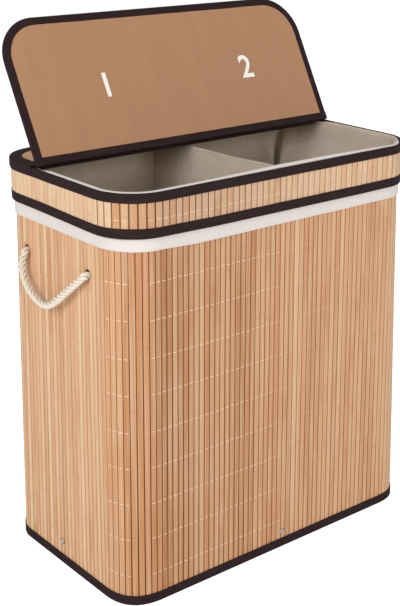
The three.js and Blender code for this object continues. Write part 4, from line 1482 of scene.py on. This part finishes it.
def build_divider():
    """The cloth wall between the bins: sewn to the bag in front, behind and below, with a sagging hem on
    top."""
    low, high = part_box("liner_divider")
    shares = [k / DIVIDER_STEPS for k in range(DIVIDER_STEPS + 1)]
    rows = []
    for up in shares:
        row = []
        for t in shares:
            top = high.z - DIVIDER_DROP * t - DIVIDER_SAG * math.sin(math.pi * t) ** 1.3
            z = low.z + (top - low.z) * up
            reach = HALF_DEPTH + flare(z) - BAG_CLOTH_THICKNESS
            front = bag_inset(STRAIGHTS[0] / 2, z) - reach
            back = reach - bag_inset(sum(STRAIGHTS[:2]) + 2 * ARC + STRAIGHTS[2] / 2, z)
            y = front + (back - front) * t
            held = math.sin(math.pi * t) * smooth_pick(0.0, 0.15, up)
            slack = noise.noise(Vector((y / DIVIDER_SLACK_WIDTH, z / DIVIDER_SLACK_HEIGHT, 6.6)))
            wrinkle = noise.noise(Vector((y / DIVIDER_WRINKLE_WIDTH, z / DIVIDER_WRINKLE_HEIGHT, 2.6)))
            row.append(((DIVIDER_SLACK * slack + DIVIDER_WRINKLE * wrinkle) * held, y, z))
        rows.append(row)
    us = distances([(0.0, y) for _, y, _ in rows[-1]])
    vs = distances([(0.0, z) for _, _, z in [row[DIVIDER_STEPS // 2] for row in rows]])
    wall = woven_grid("liner_divider_cloth", rows, us, vs)
    apply_modifier(wall, "SOLIDIFY", thickness=DIVIDER_THICKNESS, offset=0)
    dress(wall, LINER_CLOTH, "body", "liner_divider")
    hem_line = rows[-1]
    rows = []
    for k in range(HEM_SIDES):
        angle = 2 * math.pi * k / HEM_SIDES
        out, rise = HEM_HALF_WIDTH * math.cos(angle), HEM_HALF_HEIGHT * math.sin(angle) - HEM_LOW
        rows.append([(x + out, y, z + rise) for x, y, z in hem_line])
    around = [HEM_AROUND * k / HEM_SIDES for k in range(HEM_SIDES + 1)]
    hem = closed_strip("liner_divider_hem", rows, us, around)
    dress(hem, LINER_CLOTH, "body", "liner_divider")


# Base: cover, tabs and rivets

COVER_BEVEL = 0.3 * MM  # of its upper and lower edges
COVER_STEP = 0.5  # longer than any side, whose straight stretch needs no points of its own


def flat_sheet(name, outline, low, high):
    """A flat sheet with this outline, and its weave map."""
    sheet = from_arrays(name, [(x, y, low) for x, y in outline], [tuple(range(len(outline)))])
    edit(sheet)
    bpy.ops.mesh.extrude_region_move(TRANSFORM_OT_translate={"value": (0, 0, high - low)})
    bpy.ops.mesh.select_all(action="SELECT")
    bpy.ops.mesh.normals_make_consistent(inside=False)
    bpy.ops.object.mode_set(mode="OBJECT")
    weave = sheet.data.uv_layers.new(name="weave")
    for loop in sheet.data.loops:
        x, y, z = sheet.data.vertices[loop.vertex_index].co
        weave.data[loop.index].uv = (x + z, y + z)
    return sheet


def build_base():
    low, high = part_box("base_cover")
    edge = high.x - HALF_WIDTH - FLARE
    outline = [on_sleeve(station(d), edge, WALL_FOOT)[:2] for d in sleeve_columns(COVER_STEP, 16)]
    cover = flat_sheet("base_cover_cloth", outline, low.z, high.z)
    edit(cover)
    pick(cover, "EDGE", lambda e: abs(e.verts[0].co.z - e.verts[1].co.z) < 1e-6)
    bpy.ops.mesh.bevel(offset=COVER_BEVEL, segments=1)
    dress(cover, BASE_CLOTH, "body", "base_cover", angle=35)
    for quarter, side in enumerate(SIDES):
        angle = (quarter - 1) * math.pi / 2
        build_tab(side, angle)
        build_rivet(side, angle)


def outward_place(side, angle, out, across, z):
    """A point by how far out it lies past the slats' face at its height, on the middle of a side."""
    half = HALF_WIDTH if side in ("left", "right") else HALF_DEPTH
    reach = half + flare(z) + out
    nx, ny = math.cos(angle), math.sin(angle)
    return Vector((nx * reach - ny * across, ny * reach + nx * across, z))


TAB_WIDTH = 26 * MM
TAB_FOOT = 5.45 * MM
TAB_LENGTH = 45 * MM
TAB_FACE = -5.9 * MM
TAB_THICKNESS = 0.8 * MM
TAB_ROUND = 2 * MM
TAB_STEP = 1.2 * MM
TAB_COLUMNS = 8
RIVET_HEAD = 10 * MM
RIVET_HEAD_THICKNESS = 0.5 * MM
RIVET_SHANK = 5.6 * MM
RIVET_SHANK_LENGTH = 6.9 * MM
RIVET_WASHER = 9 * MM
RIVET_WASHER_THICKNESS = 0.8 * MM
RIVET_FACE = 0.55 * MM  # how far the head's middle stands out from the slats
RIVET_RISE = 1.4 * MM

# The rolled ring and its hollow, from the head's outer face inwards: how far each next ring is pushed out, in
# millimetres, and its size as a share of the last one
RIVET_RINGS = (
    (0.5, 0.95),
    (0.4, 0.93),
    (0.1, 0.9),
    (-0.25, 0.86),
    (-0.45, 0.85),
    (-0.6, 0.86),
    (-6.0, 0.96),
)


def rivet_place(side, angle):
    """How far off the middle of its side a rivet stands, and its height."""
    low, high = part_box("base_rivet_" + side)
    middle = (low + high) / 2
    return middle.y * math.cos(angle) - middle.x * math.sin(angle), middle.z + RIVET_RISE


def build_tab(side, angle):
    aside, _ = rivet_place(side, angle)
    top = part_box("base_tab_" + side)[1].z
    corners = [(TAB_FACE - TAB_LENGTH, TAB_FOOT), (TAB_FACE, TAB_FOOT), (TAB_FACE, top)]
    fine, lefts = rounded_path(corners, TAB_ROUND, TAB_STEP)
    section = list(fine) + [point + left * TAB_THICKNESS for point, left in zip(fine[::-1], lefts[::-1])]
    across = [TAB_WIDTH * (k / TAB_COLUMNS - 0.5) for k in range(TAB_COLUMNS + 1)]
    rows = [[outward_place(side, angle, out, aside + u, z) for u in across] for out, z in section]
    vs = distances(section)
    tab = closed_strip("tab_webbing_" + side, rows, across, vs + [vs[-1] + TAB_THICKNESS])
    dress(tab, TAPE, "body", "base_tab_" + side, angle=40)


def push(rise, share=1.0):
    """Extrudes the selected faces of an upright piece by a rise, and sizes them to a share."""
    bpy.ops.mesh.extrude_region_move(TRANSFORM_OT_translate={"value": (0, 0, rise)})
    bpy.ops.transform.resize(value=(share, share, 1))


def build_rivet(side, angle):
    """A tubular rivet: outside a rolled ring round a hollow, then its shank, and a flat washer inside."""
    rivet = primitive(
        "rivet_" + side,
        bpy.ops.mesh.primitive_cylinder_add,
        vertices=32,
        radius=RIVET_HEAD / 2,
        depth=RIVET_HEAD_THICKNESS,
    )
    edit(rivet)
    pick(rivet, "FACE", lambda f: f.normal.z > 0.9)
    for rise, share in RIVET_RINGS:
        push(rise * MM, share)
    bpy.ops.mesh.poke()
    pick(rivet, "FACE", lambda f: f.normal.z < -0.9 and f.calc_center_median().z < 0)
    push(0.0, RIVET_SHANK / RIVET_HEAD)
    push(-RIVET_SHANK_LENGTH)
    push(0.0, RIVET_WASHER / RIVET_SHANK)
    push(-RIVET_WASHER_THICKNESS)
    push(0.0, 0.9)
    bpy.ops.mesh.poke()
    bpy.ops.mesh.select_all(action="SELECT")
    bpy.ops.mesh.normals_make_consistent(inside=False)
    bpy.ops.object.mode_set(mode="OBJECT")
    aside, level = rivet_place(side, angle)
    face = outward_place(side, angle, RIVET_FACE, aside, level)
    turn = Matrix.Rotation(angle, 4, "Z") @ Matrix.Rotation(math.pi / 2, 4, "Y")
    rivet.data.transform(Matrix.Translation(face) @ turn)
    dress(rivet, NICKEL, "body", "base_rivet_" + side, angle=50)


# Lid: collar

COLLAR_TAPE_INNER = 1.6 * MM
COLLAR_TAPE_ROUND = 1.5 * MM
COLLAR_TAPE_THICKNESS = 0.6 * MM
COLLAR_LINING_THICKNESS = 0.4 * MM


def build_collar():
    """The collar's two folded tapes, each from its free edge round its fold to the other, and its lining."""
    for end, seed in (("foot", 7.7), ("top", 8.8)):
        node = "collar_bottom_binding" if end == "foot" else "collar_top_binding"
        low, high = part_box(node)
        outer = high.x - HALF_WIDTH
        inner = COLLAR_TAPE_INNER
        if end == "foot":
            corners = [(outer, high.z), (outer, low.z), (inner, low.z), (inner, high.z)]
        else:
            corners = [(inner, low.z), (inner, high.z), (outer, high.z), (outer, low.z)]
        section, across = tape_section(corners, COLLAR_TAPE_ROUND, COLLAR_TAPE_THICKNESS)
        wave = sewn_edge(seed, corners[0][1], corners[1][1])
        tape = band("collar_" + end + "_tape", section, across, wave)
        dress(tape, TAPE, "lid", node)

    low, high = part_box("collar_lining")
    face = high.x - HALF_WIDTH
    back = face - COLLAR_LINING_THICKNESS
    section = [(face, low.z), (face, high.z), (back, high.z), (back, low.z)]
    run = distances(section)
    lining = band("collar_lining_cloth", section, run + [run[-1] + COLLAR_LINING_THICKNESS], collar_wave)
    dress(lining, LINING_CLOTH, "lid", "collar_lining")


# Lid: plates

PLATE_STEP = 8 * MM
PLATE_COLUMNS = 64
# How dark the plate slats' edges are drawn: sawn edges plus painted shade of the seams
PLATE_EDGE_AND_SEAM_SHADE = 0.6
PLATE_TONES = (0.7, 0.1)  # middle and spread of the slats' tones
PLATE_TONE_LIMITS = (0.2, 1.0)
PLATE_SLAT_LIFTS = (-0.2 * MM, 0.0)
PLATE_WIDTH_SHARES = (0.95, 1.03)
PLATE_STITCH_SHIFT = 0.5 * MM
PLATE_STITCH_TONES = (0.3, 0.8)
RIM_TAPE_ROUND = 2 * MM
RIM_TAPE_STRAY = 0.3 * MM
RIM_TAPE_STRAY_LENGTH = 30 * MM
HINGE_EDGE_ROUND = 1.8 * MM
HINGE_EDGE_SINK = 0.1 * MM  # how far the hinge edge's tape lies inside the rim's
HINGE_EDGE_INSET = 0.3 * MM
FOLD_REACH = 8 * MM  # of the cloth folded under the panel's edges
FOLD_ROUND = 1.2 * MM
FOLD_THICKNESS = 0.2 * MM
HINGE_FOLD_ROUND = 1.6 * MM
HINGE_FOLD_DROP = 3.4 * MM
HINGE_FOLD_NEAR = 0.4 * MM
HINGE_FOLD_INSET = 15 * MM
LINING_ROWS = 36
LINING_COLUMNS = 96
LINING_WRINKLE = 0.4 * MM
LINING_WRINKLE_WIDTH = 40 * MM
LINING_WRINKLE_LENGTH = 190 * MM


def plate_radius(plate):
    return CORNER_RADIUS + plate.half_width - HALF_WIDTH


def plate_way(plate):
    """Which way along Y a plate reaches from its hinge edge."""
    return math.copysign(1, plate.far - plate.near)


def plate_run(plate, step):
    """Stations along a plate's three bound sides: a point, the outward direction, and the distance run."""
    way = plate_way(plate)
    radius = plate_radius(plate)
    corner_y = plate.far - way * radius
    corner_x = plate.half_width - radius
    side = abs(corner_y - plate.near)
    arc = radius * math.pi / 2
    long = 2 * corner_x
    stations = []
    count = max(2, round(side / step))
    for k in range(count):
        stations.append((-plate.half_width, plate.near + way * side * k / count, -1, 0, side * k / count))
    for k in range(13):
        angle = math.pi / 2 * k / 12
        nx, ny = -math.cos(angle), way * math.sin(angle)
        stations.append((-corner_x + nx * radius, corner_y + ny * radius, nx, ny, side + arc * k / 12))
    half = [(-x, y, -nx, ny, 2 * (side + arc) + long - run) for x, y, nx, ny, run in stations]
    count = max(2, round(long / step))
    for k in range(1, count):
        stations.append((-corner_x + long * k / count, plate.far, 0, way, side + arc + long * k / count))
    return stations + half[::-1]


def plate_reach(plate, y):
    """Half the plate's width, inside its binding, at a place between its near and far edges."""
    radius = plate_radius(plate) - PLATE_INSET
    straight = abs(plate.far - plate.near) - plate_radius(plate)
    past = max(0.0, abs(y - plate.near) - straight)
    return plate.half_width - plate_radius(plate) + math.sqrt(max(radius**2 - past**2, 0.0))


def plate_strip(plate, part, rows, us, vs):
    """A strip of a plate's binding, settled in its place."""
    made = closed_strip(plate.name + "_" + part, rows, us, vs, plate.settle)
    dress(made, TAPE, plate.body, plate.name + "_binding")


def level_columns(reach, count=PLATE_COLUMNS):
    """Places across a plate from one side to the other, and how far each is from the first."""
    xs = [-reach + 2 * reach * k / count for k in range(count + 1)]
    return xs, [x + reach for x in xs]


def build_plate(plate):
    """A plate's tapes, slats, threads and lining. The flap's tape is folded round its edge, and the fixed
    panel's reaches over the collar's top, which it is sewn to."""
    stations = plate_run(plate, PLATE_STEP)
    bottom = -PLATE_THICKNESS
    leg = -plate.tape_width
    corners = [(leg, 0), (0, 0), (0, bottom), (leg, bottom)]
    if plate.tape_edge:
        corners = [(leg, 0), (plate.tape_edge, 0), (plate.tape_edge, -PANEL_TAPE_DROP)]
    section, across = tape_section(corners, RIM_TAPE_ROUND, PLATE_TAPE)
    rows = []
    for offset, z in section:
        row = []
        for x, y, nx, ny, run in stations:
            stray = RIM_TAPE_STRAY * (offset / leg) ** 2 * wander(z * 90, run, RIM_TAPE_STRAY_LENGTH)
            row.append((x + nx * (offset + stray), y + ny * (offset + stray), z))
        rows.append(row)
    plate_strip(plate, "rim_tape", rows, [run for *_, run in stations], across)

    leg = -plate.hinge_tape
    top, bottom = -HINGE_EDGE_SINK, HINGE_EDGE_SINK - PLATE_THICKNESS
    corners = [(leg, top), (0, top), (0, bottom), (leg, bottom)]
    section, across = tape_section(corners, HINGE_EDGE_ROUND, PLATE_TAPE)
    xs, us = level_columns(plate.half_width - HINGE_EDGE_INSET)
    rows = [[(x, plate.near - plate_way(plate) * offset, z) for x in xs] for offset, z in section]
    plate_strip(plate, "hinge_edge_tape", rows, us, across)
    if plate.tape_edge:
        build_panel_folds(plate)
    build_plate_slats(plate)
    build_plate_lining(plate)


def build_panel_folds(plate):
    """The panel's own folded tape under the cover, and the thick fold of cloth that hangs under its hinge
    edge."""
    stations = plate_run(plate, PLATE_STEP)
    top, bottom = -PLATE_TAPE - HINGE_EDGE_SINK, -PLATE_THICKNESS
    corners = [(-FOLD_REACH, top), (0, top), (0, bottom), (-FOLD_REACH, bottom)]
    section, across = tape_section(corners, FOLD_ROUND, FOLD_THICKNESS, ribs=False)
    rows = [[(x + nx * out, y + ny * out, z) for x, y, nx, ny, _ in stations] for out, z in section]
    plate_strip(plate, "edge_fold", rows, [run for *_, run in stations], across)

    xs, us = level_columns(plate.half_width - HINGE_FOLD_INSET)
    low = bottom - HINGE_FOLD_DROP
    corners = [(FOLD_REACH, bottom), (FOLD_REACH, low), (HINGE_FOLD_NEAR, low), (HINGE_FOLD_NEAR, bottom)]
    section, across = tape_section(corners, HINGE_FOLD_ROUND, PLATE_TAPE)
    rows = [[(x, plate.near + out, z) for x in xs] for out, z in section]
    plate_strip(plate, "hinge_fold", rows, us, across)


def build_panel_board():
    """The board between the fixed panel's slats and its lining."""
    low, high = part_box("rear_panel_board")
    near, far = PANEL.near + PLATE_INSET, PANEL.far - PLATE_INSET
    middle = (near + far) / 2
    board = primitive(
        "rear_panel_fibreboard",
        bpy.ops.mesh.primitive_cube_add,
        size=1,
        location=(0, middle, (low.z + high.z) / 2 - PANEL_SINK),
        scale=(2 * (PANEL.half_width - PLATE_INSET), far - near, high.z - low.z),
    )
    edit(board)
    pick(board, "EDGE", lambda e: abs(e.verts[0].co.z - e.verts[1].co.z) > MM and e.verts[0].co.y > middle)
    bpy.ops.mesh.bevel(offset=plate_radius(PANEL) - PLATE_INSET, segments=10, profile=0.5)
    bpy.ops.object.mode_set(mode="OBJECT")
    dress(board, BOARD, "lid", "rear_panel_board", angle=30)


def plate_span(plate):
    """A plate's lower and upper end along Y, inside its binding."""
    low, high = sorted((plate.near, plate.far))
    return low + PLATE_INSET, high - PLATE_INSET


def plate_copies(plate, part, model, placed):
    """Copies of a slat or a stitch on a plate, joined and settled in their place."""
    made = copies(plate.name + "_" + part, model, placed)
    bpy.data.objects.remove(model)
    turned_out(made)
    made.data.transform(plate.settle)
    return made


def build_plate_slats(plate):
    low, high = plate_span(plate)
    count = round((high - low) / SLAT_PITCH)
    pitch = (high - low) / count
    length = 2 * plate.half_width
    model = model_slat("plate_slat_model", pitch - SLAT_GAP, PLATE_SLAT_THICKNESS, length, 8)
    points, _ = mesh_arrays(model)
    placed = []
    middles = []
    for i in range(count):
        y = low + (i + 0.5) * pitch
        wide = random.uniform(*PLATE_WIDTH_SHARES)
        seed = random.uniform(*SLAT_SEEDS)
        tone = clamp(random.gauss(*PLATE_TONES), *PLATE_TONE_LIMITS)
        lift = random.uniform(*PLATE_SLAT_LIFTS)
        middles.append((y, lift))
        moved = []
        for u, out, z in points:
            across = y + u * wide
            x = (2 * z / length - 1) * plate_reach(plate, clamp(across, low, high))
            moved.append((x, across, PLATE_SLAT_TOP + out + lift))
        lay = [(u + seed, out, z + seed) for u, out, z in points]
        # Each slat's edges darkened with painted seam shade
        seam_shades = [smooth_pick(0.4, 0.5, abs(u) / (pitch - SLAT_GAP)) for u, _, _ in points]
        placed.append((moved, lay, tone, [PLATE_EDGE_AND_SEAM_SHADE * seam_shade for seam_shade in seam_shades]))
    slats = plate_copies(plate, "bamboo", model, placed)
    dress(slats, BAMBOO, plate.body, plate.name + "_slats", angle=40)

    model = model_stitch(pitch * THREAD_SHARE)
    points, _ = mesh_arrays(model)
    placed = []
    rows = int(plate.half_width / PLATE_THREAD_GAP)
    for row in range(-rows, rows):
        x = (row + 0.5) * PLATE_THREAD_GAP
        for y, lift in middles:
            if abs(x) > plate_reach(plate, y) - plate.tape_width:
                continue
            shift = random.uniform(-PLATE_STITCH_SHIFT, PLATE_STITCH_SHIFT)
            top = PLATE_SLAT_TOP + lift + THREAD_LIFT
            moved = [(x + up + shift, y + u, top + out) for u, out, up in points]
            lay = [(u + shift, out, up) for u, out, up in points]
            placed.append((moved, lay, random.uniform(*PLATE_STITCH_TONES), [0.0] * len(points)))
    threads = plate_copies(plate, "thread", model, placed)
    dress(threads, STITCH, plate.body)


def build_plate_lining(plate):
    """The lining under a plate: glued on, so it wrinkles only a little."""
    low, high = plate_span(plate)
    rows = []
    for i in range(LINING_ROWS + 1):
        y = low + (high - low) * i / LINING_ROWS
        reach = plate_reach(plate, y)
        row = []
        for j in range(LINING_COLUMNS + 1):
            x = reach * (2 * j / LINING_COLUMNS - 1)
            off_ends = 6 * (1 - abs(2 * i / LINING_ROWS - 1))
            off_sides = 12 * (1 - abs(2 * j / LINING_COLUMNS - 1))
            wrinkle = LINING_WRINKLE * lump(x / LINING_WRINKLE_WIDTH, y / LINING_WRINKLE_LENGTH, 3.9)
            row.append((x, y, PLATE_LINING_FACE - wrinkle * min(1.0, off_ends, off_sides)))
        rows.append(row)
    us = [2 * plate.half_width * j / LINING_COLUMNS for j in range(LINING_COLUMNS + 1)]
    vs = [(high - low) * i / LINING_ROWS for i in range(LINING_ROWS + 1)]
    lining = woven_grid(plate.name + "_lining_cloth", rows, us, vs)
    if lining.data.polygons[0].normal.z > 0:
        lining.data.flip_normals()
    apply_modifier(lining, "SOLIDIFY", thickness=PLATE_LINING_THICKNESS, offset=-1)
    lining.data.transform(plate.settle)
    dress(lining, LINING_CLOTH, plate.body, plate.name + "_lining")


HINGE_STRIP = 12 * MM  # how far the hinge's strip reaches over each plate
HINGE_STRIP_THICKNESS = 0.5 * MM
HINGE_STRIP_GAP = 0.35 * MM  # between the strip and each plate
HINGE_STRIP_EDGE = 1.5 * MM  # how far from each plate's edge the strip starts to bend
HINGE_STRIP_SAG = 0.8 * MM
HINGE_STRIP_STEPS = 8
BEND_STEPS = 4


def build_hinge_strip():
    """The cloth strip that is sewn along both plates and bends between them."""
    flap_way = Vector((0, math.cos(math.pi - FLAP_OPENING), math.sin(math.pi - FLAP_OPENING)))
    flap_out = Vector((0, flap_way.z, -flap_way.y))
    foot = Vector((0, PANEL.near + HINGE_STRIP_EDGE, PANEL_HIGH.z - PANEL_SINK + HINGE_STRIP_GAP))
    head = HINGE_PLACE + flap_way * HINGE_STRIP_EDGE + flap_out * HINGE_STRIP_GAP
    shares = [k / HINGE_STRIP_STEPS for k in range(HINGE_STRIP_STEPS + 1)]
    bend = (foot + head) / 2 - Vector((0, HINGE_STRIP_SAG, HINGE_STRIP_SAG))
    line = [foot + Vector((0, HINGE_STRIP * (1 - share), 0)) for share in shares]
    line += [rounded(foot, bend, head, k / BEND_STEPS) for k in range(1, BEND_STEPS)]
    line += [head + flap_way * (HINGE_STRIP * share) for share in shares]
    ways = [way_along(line, i) for i in range(len(line))]
    backs = [point + Vector((0, way.z, -way.y)) * HINGE_STRIP_THICKNESS for point, way in zip(line, ways)]
    section = line + backs[::-1]
    reach = FLAP.half_width - FLAP.tape_width
    xs, us = level_columns(reach)
    rows = [[(x, point.y, point.z) for x in xs] for point in section]
    vs = distances(section)
    strip = closed_strip("hinge_strip", rows, us, vs + [vs[-1] + MM])
    done(strip, 60)
    strip.data.materials.append(TAPE)
    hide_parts("hinge_tape")
    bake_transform(strip)


NUMBER_HEIGHT = 36 * MM
NUMBER_HEIGHT_SHARE = 0.7  # of the font's size
NUMBER_STROKE = 0.9 * MM  # how much bolder than the font
NUMBER_THICKNESS = 0.1 * MM
NUMBER_LIFT = 0.45 * MM
NUMBERS = {"1": Vector((-125.6, -95.3, 0)) * MM, "2": Vector((142.1, -96.7, 0)) * MM}


def build_numbers():
    """Plain printed numbers on the flap's lining, one for each bin."""
    for digit, place in NUMBERS.items():
        deselect()
        bpy.ops.object.text_add()
        text = bpy.context.object
        text.data.body = digit
        text.data.align_x = "CENTER"
        text.data.align_y = "CENTER"
        text.data.size = NUMBER_HEIGHT / NUMBER_HEIGHT_SHARE
        text.data.offset = NUMBER_STROKE
        text.data.extrude = NUMBER_THICKNESS
        text.data.resolution_u = 12
        activate(text)
        bpy.ops.object.convert(target="MESH")
        number = bpy.context.object
        number.name = "number_" + digit
        flip = Matrix.Rotation(math.pi, 4, "X")
        lift = Vector((0, 0, PLATE_LINING_FACE - NUMBER_LIFT))
        number.data.transform(FLAP.settle @ Matrix.Translation(place + lift) @ flip)
        turned_out(number)
        dress(number, INK, "flap", angle=30)


build_wall_tapes()
build_backing()
build_cuff()
build_bag()
build_divider()
build_base()
build_collar()
build_plate(PANEL)
build_panel_board()
build_plate(FLAP)
build_hinge_strip()
build_numbers()

for board in ("base_board", "rear_panel_board", "flap_board"):
    for place in frame["nodes"][board].material_slots:
        place.material = BOARD

# Stage: a pale floor and a white world; the camera sees the floor brightened to white, but for the object's
# shadow

WHITE = (1.0, 1.0, 1.0, 1.0)
FLOOR_SIZE = 12
FLOOR_GLOW = 0.7
WORLD_LIGHT = 0.5


def build_stage():
    floor = primitive("floor", bpy.ops.mesh.primitive_plane_add, size=FLOOR_SIZE, location=(0, 0, 0))
    material, tree = new_material("white_floor")
    place = add(tree, "TexCoord")["Object"]
    faint = add(tree, "TexNoise", {"Vector": place, "Scale": 2.0, "Detail": 2.0})["Fac"]
    color = add(tree, "ValToRGB", [faint], stops=[(0.3, "#F2F2F2"), (0.7, "#EEEEEE")])[0]
    seen = add(tree, "LightPath")["Is Camera Ray"]
    glow = add(tree, "Math", [seen, FLOOR_GLOW], operation="MULTIPLY")[0]
    inputs = {"Base Color": color, "Roughness": 0.9, "Emission Color": WHITE, "Emission Strength": glow}
    add(tree, "OutputMaterial", [add(tree, "BsdfPrincipled", inputs)[0]])
    floor.data.materials.append(material)

    world = bpy.data.worlds.new("studio")
    bpy.context.scene.world = world
    world.use_nodes = True
    tree = world.node_tree
    tree.nodes.clear()
    path = add(tree, "LightPath")
    strength = add(tree, "MapRange", [path["Is Camera Ray"], 0.0, 1.0, WORLD_LIGHT, 1.0])[0]
    sky = add(tree, "Background", {"Color": WHITE, "Strength": strength})[0]
    add(tree, "OutputWorld", [sky])


def lamp(name, place, aim, size, watts):
    """A square area lamp at a place, turned to shine on its aim."""
    deselect()
    bpy.ops.object.light_add(type="AREA", location=place)
    made = bpy.context.object
    made.name = name
    made.rotation_euler = (Vector(aim) - Vector(place)).to_track_quat("-Z", "Y").to_euler()
    made.data.shape = "SQUARE"
    made.data.size = size
    made.data.energy = watts


build_stage()
lamp("key_left", place=(-2.9, -0.9, 1.9), aim=(0, 0, 0.35), size=1.6, watts=56)
lamp("fill_front", place=(0.4, -3.0, 1.4), aim=(0, 0, 0.4), size=1.4, watts=32)
bpy.context.scene.view_settings.view_transform = "Standard"
